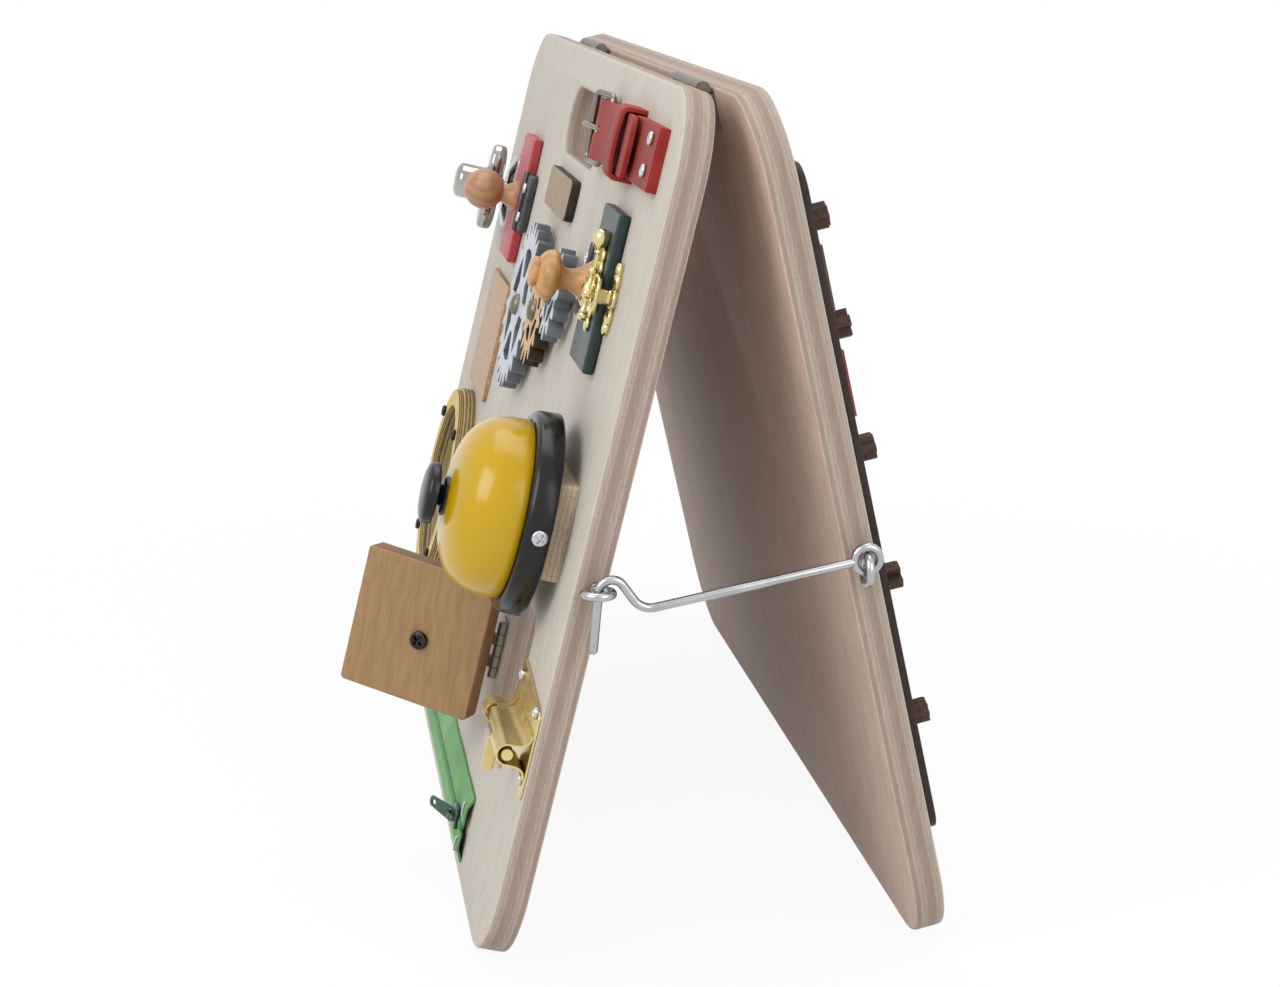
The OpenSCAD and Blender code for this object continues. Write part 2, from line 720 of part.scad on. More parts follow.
module rear_board() {
    color("#b7a795") on_rear()
        difference() {
            at(0, board_l / 2, -board_t) plate(board_w, board_l, board_t, board_corner);
            at(0, slot_v, -board_t - over) plate(slot_w, slot_h, board_t + 2 * over, slot_h / 2);
            at(board_w / 2 - eye_shank, rear_eye_v, -board_t / 2)
                rotate([0, 90, 0]) cylinder(d = wire_d + 2 * pin_fit, h = eye_shank + over);
        }
}

// Fold hinges

// Leaves of both fold hinges on one board, drawn in that board's face frame
module fold_leaves(first) {
    for (side = [-1, 1])
        at(side * fold_hinge_u, 0, -board_t)
            difference() {
                union() {
                    translate([-fold_hinge_w / 2, -fold_leaf_l, -fold_leaf_t])
                        cube([fold_hinge_w, fold_leaf_l - fold_barrel_d / 2 - move_gap, fold_leaf_t]);
                    translate([0, 0, -axis_off])
                        rotate([0, 0, -90]) barrel(fold_hinge_w, fold_barrel_d, 5, first);
                    for (i = [first:2:4])
                        translate([-fold_hinge_w / 2 + fold_hinge_w * i / 5 + move_gap / 2,
                                -fold_barrel_d / 2 - move_gap, -axis_off])
                            cube([fold_hinge_w / 5 - move_gap, fold_barrel_d / 2 + move_gap, axis_off]);
                }
                translate([-fold_hinge_w / 2 - over, 0, -axis_off])
                    rotate([0, 90, 0]) cylinder(d = fold_pin_d + 2 * pin_fit, h = fold_hinge_w + 2 * over);
            }
}

module fold_leaves_front() {
    color("#8f8f92") on_front() fold_leaves(0);
}

module fold_leaves_rear() {
    color("#8f8f92") on_rear() fold_leaves(1);
}

module fold_pins() {
    color("#77777a") place()
        for (side = [-1, 1])
            translate([side * fold_hinge_u - fold_hinge_w / 2, 0, axis_z]) rotate([0, 90, 0]) {
                cylinder(d = fold_pin_d, h = fold_hinge_w);
                translate([0, 0, -fold_pin_head_t]) cylinder(d = fold_pin_head_d, h = fold_pin_head_t);
                translate([0, 0, fold_hinge_w]) cylinder(d = fold_pin_head_d, h = fold_pin_head_t);
            }
}

// Hook and screw eyes

// Screw eye with its shank along x, ring round the z axis
module screw_eye() {
    rotate_extrude() translate([eye_r, 0]) circle(d = wire_d);
    translate([-eye_reach - eye_shank, 0, 0])
        rotate([0, 90, 0]) cylinder(d = wire_d, h = eye_shank + eye_reach - eye_r);
}

module front_eye() {
    color("#8d8577") place()
        translate([board_w / 2 + eye_reach, front_eye_y, front_eye_z]) screw_eye();
}

module rear_eye() {
    color("#8d8577") place()
        translate([board_w / 2 + eye_reach, rear_eye_y, rear_eye_z]) rotate([90, 0, 0]) screw_eye();
}

module hook() {
    ring = [rear_eye_y, hook_z];
    low = [front_eye_y + hook_low_y, front_eye_z - hook_low_z];
    top = [front_eye_y + hook_top_y, front_eye_z + hook_top_z];
    tail = [front_eye_y - hook_end_y, front_eye_z - hook_end_z];
    start = ring + (low - ring) / norm(low - ring) * ring_r;
    color("#8d8577") place()
        translate([board_w / 2 + eye_reach, 0, 0]) rotate([90, 0, 90]) {
            translate([ring[0], ring[1], 0]) rotate_extrude() translate([ring_r, 0]) circle(d = wire_d);
            wire_bar(start, bend_start(start, low, top, hook_low_r), wire_d);
            wire_bend(start, low, top, hook_low_r, wire_d);
            wire_bar(bend_start(top, low, start, hook_low_r), bend_start(low, top, tail, hook_top_r), wire_d);
            wire_bend(low, top, tail, hook_top_r, wire_d);
            wire_bar(bend_start(tail, top, low, hook_top_r), tail, wire_d);
        }
}

// Strap and buckle

// Near piece, sewn double round the buckle bar, with a slot there for the prong
module strap_long() {
    color("#b3373a") on_front()
        difference() {
            union() {
                at(strap_bar_u, strap_v + strap_w / 2, 0) cube([strap_len, strap_w, strap_t * 2]);
                at(strap_bar_u, strap_v + strap_w / 2, strap_sleeve_d / 2) rotate([-90, 0, 0])
                    cylinder(d = strap_sleeve_d, h = strap_w);
            }
            at(strap_bar_u, strap_v + strap_w, strap_sleeve_d / 2) rotate([-90, 0, 0])
                cylinder(d = buckle_wire_d + 2 * pin_fit, h = strap_w * 2);
            at(strap_bar_u, strap_v, strap_sleeve_d)
                cube([strap_sleeve_d * 2, prong_d + 2 * move_gap, strap_sleeve_d * 2 + 2 * over],
                    center = true);
            zinc_holes();
        }
}

// Far piece, under the buckle's far side, over its bar and through the loops to its free tip
module strap_short() {
    lay = 2 * strap_t + pin_fit;
    crown = strap_sleeve_d + pin_fit;
    low = [[strap_far_u, 0], [strap_bar_u - buckle_l + buckle_wire_d, 0],
        [strap_bar_u - strap_sleeve_d / 2, crown],
        [strap_bar_u + strap_sleeve_d / 2, crown], [strap_bar_u + strap_sleeve_d * 2, lay],
        [strap_near_u - loop_back, lay], [strap_tip_u, lay + tip_rise]];
    color("#b3373a") on_front()
        difference() {
            intersection() {
                at(0, strap_v - strap_w / 2, 0) rotate([90, 0, 0]) linear_extrude(strap_w)
                    polygon(concat(low, [for (i = [len(low) - 1:-1:0]) low[i] + [0, strap_t]]));
                at((strap_far_u + strap_tip_u) / 2, strap_v, -over)
                    plate(strap_tip_u - strap_far_u, strap_w, loop_h * 2, tip_round);
            }
            at(strap_bar_u + prong_d * 1.5 - prong_slot, strap_v + prong_d / 2 + move_gap, strap_t * 2)
                cube([prong_slot, prong_d + 2 * move_gap, loop_h]);
            zinc_holes();
        }
}

module strap_loops() {
    span = strap_w + 2 * strap_t + 2 * move_gap;
    color("#b3373a") on_front()
        for (i = [0:1])
            at(strap_near_u - loop_back + i * loop_pitch, strap_v, 0)
                difference() {
                    translate([-loop_w / 2, -span / 2, 0]) cube([loop_w, span, loop_h]);
                    translate([-loop_w / 2 - over, -span / 2 + strap_t, -over])
                        cube([loop_w + 2 * over, span - 2 * strap_t, loop_h - strap_t + over]);
                }
}

// Buckle frame of round wire, its bar along y through the origin, its far side towards -x
module buckle_frame() {
    color("#a9a9ab") on_front()
        at(strap_bar_u, strap_v, strap_sleeve_d / 2)
            rotate([0, buckle_lift, 0]) {
                for (x = [0, -buckle_l])
                    translate([x, -buckle_w / 2, 0]) rotate([-90, 0, 0])
                        cylinder(d = buckle_wire_d, h = buckle_w);
                for (y = [-1, 1])
                    translate([buckle_wire_d / 2, y * (buckle_w - buckle_wire_d) / 2, 0]) rotate([0, -90, 0])
                        cylinder(d = buckle_wire_d * 0.98, h = buckle_l + buckle_wire_d);
            }
}

module buckle_prong() {
    ring_d = buckle_wire_d + 2 * pin_fit + prong_d;
    rise = buckle_wire_d / 2 + prong_d / 2 + move_gap;
    color("#a9a9ab") on_front()
        at(strap_bar_u, strap_v, strap_sleeve_d / 2)
            rotate([0, buckle_lift, 0])
                difference() {
                    union() {
                        translate([0, -prong_d / 2, 0]) rotate([-90, 0, 0]) cylinder(d = ring_d, h = prong_d);
                        translate([0, 0, rise]) rotate([0, -90, 0])
                            cylinder(d = prong_d, h = buckle_l + buckle_wire_d);
                        translate([-prong_d / 2, -prong_d / 2, 0]) cube([prong_d, prong_d, rise]);
                    }
                    translate([0, -prong_d, 0]) rotate([-90, 0, 0])
                        cylinder(d = buckle_wire_d + 2 * pin_fit, h = prong_d * 2);
                }
}

// Name block and gears

module name_block() {
    color("#caa878") on_front() at(name_u, name_v, 0) plate(name_w, name_l, name_t, name_l * 0.2);
}

module gear_large() {
    color("#8e9091") on_front() at(gear_u, gear_v, axle_collar_t + move_gap)
        spoked_gear(large_count, 0, 6);
}

module gear_wood() {
    color("#d9b98a") on_front() at(gear_wood_x, gear_wood_v, axle_collar_t + move_gap)
        spoked_gear(wood_count, phase_wood, 5);
}

module gear_small() {
    color("#8e9091") on_front() at(gear_small_x, gear_small_v, axle_collar_t + move_gap)
        spoked_gear(small_count, phase_small, 4);
}

module gear_axles() {
    color("#5a5a5c") on_front()
        for (p = [[gear_u, gear_v], [gear_wood_x, gear_wood_v], [gear_small_x, gear_small_v]])
            at(p[0], p[1], 0) {
                translate([0, 0, -board_t / 2]) cylinder(d = axle_d * 0.6, h = board_t / 2);
                cylinder(d = axle_collar_d, h = axle_collar_t);
                cylinder(d = axle_d, h = axle_collar_t + gear_t + 2 * move_gap);
                translate([0, 0, axle_collar_t + gear_t + 2 * move_gap])
                    cylinder(d1 = axle_head_d, d2 = axle_head_d * 0.8, h = axle_head_t);
            }
}

// Small doors, drawn with the hinge axis along y through the origin, door towards +x

module leaf_door() {
    translate([leaf_axis_out, -leaf_l / 2, -leaf_axis_h + move_gap])
        difference() {
            cube([leaf_w, leaf_l, leaf_t]);
            translate([-over, leaf_l / 2 - leaf_hinge_l / 2, leaf_t - leaf_hinge_t])
                cube([leaf_hinge_w + over, leaf_hinge_l, leaf_hinge_t + over]);
        }
}

module leaf_hinge() {
    leaf_z = -leaf_axis_h + move_gap + leaf_t - leaf_hinge_t;
    difference() {
        union() {
            translate([leaf_axis_out, -leaf_hinge_l / 2, leaf_z])
                cube([leaf_hinge_w, leaf_hinge_l, leaf_hinge_t]);
            barrel(leaf_hinge_l, leaf_barrel_d, 3, 1);
            translate([0, -leaf_hinge_l / 6 + move_gap / 2, leaf_z])
                cube([leaf_axis_out, leaf_hinge_l / 3 - move_gap, leaf_hinge_t]);
        }
        translate([0, -leaf_hinge_l, 0]) rotate([-90, 0, 0])
            cylinder(d = small_pin_d + 2 * pin_fit, h = leaf_hinge_l * 2);
    }
}

module leaf_block() {
    edge = leaf_barrel_d / 2 + move_gap;
    difference() {
        union() {
            translate([-edge - leaf_hinge_w / 2, 0, -leaf_axis_h])
                plate(leaf_hinge_w, leaf_hinge_l, leaf_t, leaf_hinge_w * 0.4);
            barrel(leaf_hinge_l, leaf_barrel_d, 3, 0);
            for (i = [0, 2])
                translate([-edge - leaf_hinge_w / 2, -leaf_hinge_l / 2 + leaf_hinge_l * i / 3 + move_gap / 2,
                        -leaf_axis_h])
                    cube([edge + leaf_hinge_w / 2, leaf_hinge_l / 3 - move_gap, leaf_t]);
        }
        translate([0, -leaf_hinge_l, 0]) rotate([-90, 0, 0])
            cylinder(d = small_pin_d + 2 * pin_fit, h = leaf_hinge_l * 2);
    }
}

// Carries a hinge frame to the green door, the red door
module green_frame() {
    on_front() at(green_u - leaf_axis_out, green_v, leaf_axis_h) children();
}

module red_frame() {
    on_front() at(red_u + leaf_axis_out, red_v, leaf_axis_h) rotate([0, 0, 180]) children();
}

module turned_knob(shares, d, h) {
    rotate_extrude() polygon([for (s = shares) [s[0] * d / 2, s[1] * h]]);
}

module green_door() {
    color("#1f4a45") green_frame() leaf_door();
}

module green_knob() {
    color("#d9ab6c") green_frame()
        translate([leaf_axis_out + leaf_w * 0.35, 0, -leaf_axis_h + move_gap + leaf_t])
            turned_knob(knob_shares, knob_d, knob_h);
}

module green_hinge_leaf() {
    color("#4c4c4f") green_frame() leaf_hinge();
}

module red_door() {
    color("#b32f3a") red_frame() leaf_door();
}

module red_knob() {
    color("#c79b6b") red_frame()
        translate([leaf_axis_out + leaf_w / 2, 0, -leaf_axis_h + move_gap + leaf_t]) {
            turned_knob(ball_foot_shares, ball_d, ball_h);
            translate([0, 0, ball_h - ball_d / 2]) sphere(d = ball_d);
        }
}

module red_hinge_leaf() {
    color("#4c4c4f") red_frame() leaf_hinge();
}

module hinge_blocks() {
    color("#4c4c4f")
        difference() {
            union() {
                green_frame() leaf_block();
                red_frame() leaf_block();
            }
            on_front() zinc_holes();
        }
}

module small_pins() {
    color("#6a6a6d") {
        green_frame() translate([0, -leaf_hinge_l / 2, 0])
            rotate([-90, 0, 0]) cylinder(d = small_pin_d, h = leaf_hinge_l);
        red_frame() translate([0, -leaf_hinge_l / 2, 0])
            rotate([-90, 0, 0]) cylinder(d = small_pin_d, h = leaf_hinge_l);
        door_frame() translate([0, -door_hinge_l / 2, 0])
            rotate([-90, 0, 0]) cylinder(d = small_pin_d, h = door_hinge_l);
    }
}

// Gold latch, drawn from the door's free edge at the door's outer face

module latch_frame() {
    on_front() at(green_u + leaf_w, green_v, leaf_t + move_gap) children();
}

module latch_plate() {
    color("#d8b85a") latch_frame() {
        translate([-latch_back - latch_w / 2, 0, 0]) plate(latch_w, latch_l * 0.7, latch_t, latch_w * 0.3);
        for (y = [-1, 1]) translate([-latch_back - latch_w / 2, y * latch_l * 0.36, 0])
            cylinder(d = latch_w * 0.8, h = latch_t);
        translate([-latch_back - latch_w / 2, latch_l * 0.48, 0]) cylinder(d = latch_w * 0.5, h = latch_t);
        for (y = [-1, 1])
            translate([-latch_back, y * hasp_w * 0.36 - hasp_w * 0.11, 0]) {
                translate([0, 0, hasp_z]) rotate([-90, 0, 0]) cylinder(d = latch_barrel_d, h = hasp_w * 0.22);
                translate([-latch_barrel_d / 2, 0, 0]) cube([latch_barrel_d, hasp_w * 0.22, hasp_z]);
            }
        translate([-latch_back, -hasp_w / 2, hasp_z]) rotate([-90, 0, 0])
            cylinder(d = small_pin_d, h = hasp_w);
    }
}

module latch_hasp() {
    tip = latch_back + catch_knob_d + over;
    color("#d8b85a") latch_frame()
        translate([-latch_back, 0, hasp_z])
            difference() {
                union() {
                    translate([0, -hasp_w * 0.22, 0]) rotate([-90, 0, 0])
                        cylinder(d = latch_barrel_d, h = hasp_w * 0.44);
                    translate([0, -hasp_w * 0.22, -latch_barrel_d / 4])
                        cube([latch_barrel_d, hasp_w * 0.44, latch_barrel_d / 2]);
                    translate([latch_barrel_d / 2 + move_gap + hasp_l / 2, 0, -latch_barrel_d / 4])
                        plate(hasp_l, hasp_w, latch_barrel_d / 2, hasp_w * 0.3);
                }
                translate([0, -hasp_w, 0]) rotate([-90, 0, 0])
                    cylinder(d = small_pin_d + 2 * pin_fit, h = hasp_w * 2);
                translate([tip, 0, -latch_barrel_d - over])
                    plate(catch_knob_d + 2 * over, catch_knob_d + over,
                    2 * latch_barrel_d + 2 * over, catch_knob_d / 2);
            }
}

module latch_catch() {
    boss = leaf_t + hasp_z - latch_barrel_d / 4;
    color("#d8b85a") on_front()
        at(green_u + leaf_w + catch_knob_d + over, green_v, 0) {
            translate([latch_w * 0.1, 0, 0]) plate(latch_w, latch_l * 0.75, latch_t, latch_w * 0.3);
            cylinder(d = catch_knob_d * 1.6, h = boss);
            cylinder(d = catch_knob_d, h = boss + latch_barrel_d);
            translate([0, 0, boss + latch_barrel_d]) sphere(d = catch_knob_d);
        }
}

// Tap

module tap_base() {
    color("#b9bcbf") on_front() at(tap_u, tap_v, 0) {
        translate([0, 0, -board_t / 2]) cylinder(d = axle_d * 0.6, h = board_t / 2);
        cylinder(d = tap_base_d, h = tap_base_t / 2);
        translate([0, 0, tap_base_t / 2])
            cylinder(d1 = tap_base_d, d2 = tap_base_d * 0.6, h = tap_base_t / 2);
        cylinder(d = tap_spindle_d, h = tap_hub_h * 0.7);
    }
}

module tap_handle() {
    color("#c4c7ca") on_front() at(tap_u, tap_v, tap_lobe_h)
        difference() {
            union() {
                cylinder(d = tap_hub_d * 1.15, h = tap_lobe_t);
                for (k = [0:3]) rotate([0, 0, k * 90]) {
                    translate([tap_lobe_r, 0, 0]) cylinder(d = tap_lobe_d, h = tap_lobe_t);
                    translate([0, -tap_lobe_d * 0.35, 0]) cube([tap_lobe_r, tap_lobe_d * 0.7, tap_lobe_t]);
                }
                cylinder(d = tap_hub_d, h = tap_hub_h - tap_lobe_h);
            }
            translate([0, 0, -over])
                cylinder(d = tap_spindle_d + 2 * pin_fit, h = tap_hub_h * 0.7 - tap_lobe_h + over + move_gap);
        }
}

// Picture board and porthole

module picture_board() {
    color("#dba27c") on_front() at(picture_u, picture_v, 0) plate(picture_w, picture_l, picture_t, picture_t);
}

module port_ring() {
    color("#d8bd7c") on_front() at(port_u, port_v, 0)
        difference() {
            cylinder(d = port_d, h = port_low_t);
            translate([0, 0, -over]) cylinder(d = port_hole_d, h = port_low_t + 2 * over);
        }
}

module port_rim() {
    color("#d8bd7c") on_front() at(port_u, port_v, port_low_t)
        difference() {
            cylinder(d = port_d - port_top_t, h = port_top_t);
            translate([0, 0, -over]) cylinder(d = port_hole_d - port_top_t, h = port_top_t + 2 * over);
        }
}

module port_mirror() {
    color("#b8c2c8") on_front() at(port_u, port_v, 0) cylinder(d = port_hole_d - 2 * pin_fit, h = mirror_t);
}

module port_bolts() {
    color("#2e2c2b") on_front()
        for (k = [0:3])
            at(port_u, port_v, port_low_t + port_top_t) rotate([0, 0, k * 90 + 45])
                translate([(port_d + port_hole_d) / 4 - port_top_t / 2, 0, 0])
                    cylinder(d1 = port_bolt_d, d2 = port_bolt_d * 0.6, h = port_bolt_t);
}

// Desk bell

module bell_block() {
    color("#c9b79c") on_front() at(bell_u, bell_v, 0)
        plate(bell_block_w, bell_block_l, bell_block_t, bell_block_t / 8);
}

module bell_base() {
    color("#1d1d1e") on_front() at(bell_u, bell_v, bell_block_t)
        rotate_extrude() polygon([[0, 0], [bell_base_r, 0], [bell_rim_r, bell_base_t],
            [bell_rim_r - bell_sheet, bell_base_t + bell_sheet / 2], [dome_r, bell_base_t + bell_step],
            [dome_r - bell_sheet, bell_base_t + bell_step],
            [dome_r - bell_sheet, bell_base_t],
            [bell_base_r - bell_sheet * 2, bell_base_t - bell_sheet],
            [bell_base_r - bell_sheet * 2, bell_sheet], [0, bell_sheet]]);
}

function dome_line(r, h) =
    [for (i = [0:16]) let (a = i * 5.625) [r * pow(cos(a), 2 / dome_power), h * pow(sin(a), 2 / dome_power)]];

module bell_dome() {
    hole_r = stem_d / 2 + 4 * pin_fit;
    color("#e6b800") on_front() at(bell_u, bell_v, bell_block_t + bell_base_t + bell_step)
        difference() {
            rotate_extrude() polygon(concat(dome_line(dome_r, dome_h), [[0, dome_h - bell_sheet]],
                [for (i = [15:-1:0]) dome_line(dome_r - bell_sheet, dome_h - bell_sheet)[i]]));
            cylinder(r = hole_r, h = dome_h + over);
        }
}

module bell_collar() {
    color("#1d1d1e") on_front() at(bell_u, bell_v, bell_top)
        difference() {
            cylinder(d = collar_d, h = collar_t);
            translate([0, 0, -over]) cylinder(d = stem_d + 2 * pin_fit, h = collar_t + 2 * over);
        }
}

module bell_button() {
    stem_low = bell_top - bell_sheet - move_gap * 2;
    color("#1d1d1e") on_front() at(bell_u, bell_v, 0) {
        translate([0, 0, stem_low]) cylinder(d = stem_d, h = button_h - stem_low);
        translate([0, 0, stem_low - bell_sheet]) cylinder(d = stem_foot_d, h = bell_sheet);
        translate([0, 0, button_h]) cylinder(d = button_d, h = button_t * 0.5);
        translate([0, 0, button_h + button_t * 0.5])
            cylinder(d1 = button_d, d2 = button_d * 0.86, h = button_t * 0.3);
        translate([0, 0, button_h + button_t * 0.8])
            cylinder(d1 = button_d * 0.86, d2 = button_d * 0.5, h = button_t * 0.2);
    }
}

module bell_screw() {
    color("#9c9c9e") on_front() at(bell_u, bell_v, bell_block_t + bell_base_t * 0.4)
        translate([bell_rim_r - bell_sheet / 2 + move_gap, 0, 0]) rotate([0, 90, 0])
            cylinder(d1 = bell_screw_d, d2 = bell_screw_d * 0.7, h = bell_screw_t);
}

// Inset window door, drawn closed with its hinge axis along y, then swung open

module door_frame() {
    on_front() at(door_axis_u, window_v, door_axis_h) children();
}

module door_swing() {
    door_frame() rotate([0, -door_open, 0]) children();
}

module window_door() {
    color("#cbb08c") door_swing()
        difference() {
            translate([door_du + door_w / 2, 0, -door_axis_h - door_t])
                plate(door_w, door_w, door_t, door_corner);
            translate([0, -door_hinge_l / 2, -door_axis_h - door_hinge_t])
                cube([door_hinge_w + door_du, door_hinge_l, door_hinge_t + over]);
            translate([door_du + door_w / 2, 0, -door_axis_h - door_t - over])
                cylinder(d = screw_d * 1.5 + 2 * pin_fit, h = door_t * 0.8 + over);
        }
}

module window_knob() {
    color("#d9ab6c") door_swing() translate([door_du + door_w / 2, 0, -door_axis_h])
        turned_knob(knob_shares, knob_d, knob_h);
}

module window_screw() {
    color("#1f1f20") door_swing() translate([door_du + door_w / 2, 0, -door_axis_h - door_t])
        rotate([180, 0, 0]) screw(door_screw_d, door_screw_t, screw_d * 1.5, door_t * 0.7);
}

// Half of the inset door's hinge; the leaf lies below the axis towards +x
module door_hinge_half(first, reach) {
    leaf_z = -door_axis_h + (first == 0 ? 0 : -door_hinge_t);
    difference() {
        union() {
            translate([reach, -door_hinge_l / 2, leaf_z])
                cube([door_hinge_w - reach, door_hinge_l, door_hinge_t]);
            barrel(door_hinge_l, door_barrel_d, 5, first);
            for (i = [first:2:4])
                translate([2 * move_gap, -door_hinge_l / 2 + door_hinge_l * i / 5 + move_gap / 2, leaf_z])
                    cube([reach + door_hinge_t - 2 * move_gap, door_hinge_l / 5 - move_gap, -leaf_z]);
        }
        translate([0, -door_hinge_l, 0]) rotate([-90, 0, 0])
            cylinder(d = small_pin_d + 2 * pin_fit, h = door_hinge_l * 2);
    }
}

module door_hinge_fixed() {
    color("#8f8f92") door_frame() rotate([0, 0, 180]) door_hinge_half(0, door_barrel_d / 2 + move_gap);
}

module door_hinge_leaf() {
    color("#8f8f92") door_swing() door_hinge_half(1, door_barrel_d / 2 + move_gap);
}

// Brass bolt

module bolt_plate() {
    color("#c9ae62") on_front()
        difference() {
            union() {
                at(bolt_mid_u, bolt_v, 0) plate(bolt_plate_w, bolt_plate_l, bolt_sheet, bolt_sheet * 2);
                for (g = [[bolt_u, bolt_guide_far],
                    [bolt_u + bolt_plate_w - bolt_guide_near, bolt_guide_near]])
                    at(g[0], bolt_rod_v, 0) {
                        translate([0, 0, bolt_h]) rotate([0, 90, 0]) cylinder(d = bolt_guide_d, h = g[1]);
                        translate([0, -bolt_guide_d * 0.35, 0]) cube([g[1], bolt_guide_d * 0.7, bolt_h]);
                    }
            }
            at(bolt_u - over, bolt_rod_v, bolt_h) rotate([0, 90, 0])
                cylinder(d = bolt_rod_d + 2 * pin_fit, h = bolt_plate_w + 2 * over);
            zinc_holes();
        }
}

module bolt_rod() {
    color("#d2bb78") on_front() at(bolt_u, bolt_rod_v, bolt_h) {
        rotate([0, 90, 0]) cylinder(d = bolt_rod_d, h = bolt_plate_w);
        translate([bolt_peg_u - bolt_u, 0, 0]) {
            cylinder(d = bolt_peg_d, h = bolt_peg_l);
            translate([0, 0, bolt_peg_l]) sphere(d = bolt_peg_d * 1.3);
        }
    }
}

// Zip

module zip_tapes() {
    inner = chain_w / 2 - chain_w / 8;
    color("#8fd17f") on_front() at(zip_mid_u, zip_v, 0)
        for (side = [-1, 1])
            translate([-zip_len / 2, 0, 0]) rotate([90, 0, 90]) linear_extrude(zip_len)
                polygon([[side * zip_w / 2, 0], [side * zip_w / 2, zip_tape_t],
                    [side * zip_w * 0.3, zip_tape_t + zip_rise], [side * inner, zip_tape_t + zip_rise],
                    [side * inner, zip_rise], [side * zip_w * 0.3, zip_rise]]);
}

module zip_chain() {
    color("#3f8f4f") on_front() at(zip_mid_u, zip_v, zip_rise - (chain_t - zip_tape_t) / 2)
        difference() {
            translate([-zip_len / 2, -chain_w / 2, 0]) cube([zip_len, chain_w, chain_t]);
            for (side = [-1, 1])
                translate([-zip_len / 2 - over, side * chain_w * 0.5 - chain_w / 8,
                    (chain_t - zip_tape_t) / 2])
                    cube([zip_len + 2 * over, chain_w / 4, zip_tape_t]);
        }
}

module zip_slider() {
    mid = zip_rise + zip_tape_t / 2;
    room = chain_t / 2 + move_gap;
    color("#1d5b34") on_front() at(slider_u, zip_v, mid) {
        translate([0, 0, room]) plate(slider_l, slider_w, slider_t, slider_w * 0.3);
        for (side = [-1, 1])
            translate([-slider_l * 0.3, side * slider_w * 0.42 - slider_w * 0.06, zip_tape_t / 2 + move_gap])
                cube([slider_l * 0.6, slider_w * 0.12, room + slider_t / 2 - zip_tape_t / 2 - move_gap]);
        for (x = [-1, 1]) translate([x * slider_l * 0.3, 0, room + slider_t])
            translate([-slider_t / 2, -slider_w * 0.12, 0]) cube([slider_t, slider_w * 0.24, slider_t * 2]);
        translate([-slider_l * 0.3 - slider_t / 2, -slider_w * 0.12, room + slider_t * 3])
            cube([slider_l * 0.6 + slider_t, slider_w * 0.24, slider_t]);
    }
}

module zip_pull() {
    mid = zip_rise + zip_tape_t / 2;
    room = chain_t / 2 + move_gap;
    color("#1d5b34") on_front() at(slider_u, zip_v, mid + room + slider_t + slider_t)
        translate([-pull_l / 2 + slider_t / 2, 0, -slider_t * 0.6])
            difference() {
                plate(pull_l, pull_w, slider_t * 0.8, pull_w * 0.3);
                translate([pull_l / 2 - slider_t * 4, 0, -over])
                    plate(slider_t * 5, slider_w * 0.36, slider_t + 2 * over, slider_t / 2);
            }
}

module zip_staples() {
    color("#a9a9ab") on_front()
        for (x = [zip_far_u + staple_d * 4, zip_near_u - staple_d * 4], side = [-1, 1])
            at(x, zip_v + side * (chain_w / 2 + staple_w / 2), zip_rise + zip_tape_t)
                translate([-staple_d / 2, -staple_w / 4, 0]) cube([staple_d, staple_w / 2, staple_d]);
}

// Rear face

module rear_plate() {
    color("#cbb493") on_rear()
        difference() {
            at(0, rear_plate_v + rear_plate_l / 2, 0)
                plate(rear_plate_w, rear_plate_l, rear_plate_t, rear_plate_corner);
            at(0, slot_v, -over) plate(slot_w + 2 * rear_notch, slot_h + 2 * rear_notch,
                rear_plate_t + 2 * over, slot_h / 2 + rear_notch);
        }
}

module rear_strips() {
    color("#8c2f2a") on_rear()
        for (i = [0, 1])
            at(strip_u, strip_v + i * strip_pitch, rear_plate_t)
                translate([-strip_w / 2, -strip_l / 2, 0]) cube([strip_w, strip_l, strip_t]);
}

// Five small blocks in a column: star, cross, flower, cross and star outlines
module rear_blocks() {
    color("#5a4331") on_rear()
        for (i = [0:4])
            at(shape_u, shape_v + shape_span * shape_shares[i], rear_plate_t)
                linear_extrude(shape_t)
                    if (i == 0 || i == 4)
                        for (a = [0, 45]) rotate(a + i * 10) square(shape_d * 0.7, center = true);
                    else if (i == 2)
                        for (a = [0:60:300]) rotate(a)
                            translate([shape_d * 0.3, 0]) circle(d = shape_d * 0.42);
                    else
                        for (a = [0, 90]) rotate(a + i * 20) square([shape_d, shape_d * 0.4], center = true);
}

module zinc_screws() {
    color("#c3c6c8") on_front()
        for (s = zinc_spots) at(s[0], s[1], s[2])
            screw(screw_head_d, screw_head_t, screw_d, screw_l + s[2]);
}

front_board();
rear_board();
fold_leaves_front();
fold_leaves_rear();
fold_pins();
front_eye();
rear_eye();
hook();
strap_long();
strap_short();
strap_loops();
buckle_frame();
buckle_prong();
name_block();
gear_large();
gear_wood();
gear_small();
gear_axles();
green_door();
green_knob();
green_hinge_leaf();
red_door();
red_knob();
red_hinge_leaf();
hinge_blocks();
small_pins();
latch_plate();
latch_hasp();
latch_catch();
tap_base();
tap_handle();
picture_board();
port_ring();
port_rim();
port_mirror();
port_bolts();
bell_block();
bell_base();
bell_dome();
bell_collar();
bell_button();
bell_screw();
window_door();
window_knob();
window_screw();
door_hinge_fixed();
door_hinge_leaf();
bolt_plate();
bolt_rod();
zip_tapes();
zip_chain();
zip_slider();
zip_pull();
zip_staples();
rear_plate();
rear_strips();
rear_blocks();
zinc_screws();
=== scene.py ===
import math

import bmesh
import bpy
import numpy as np
from mathutils import Matrix
from mathutils.geometry import tessellate_polygon


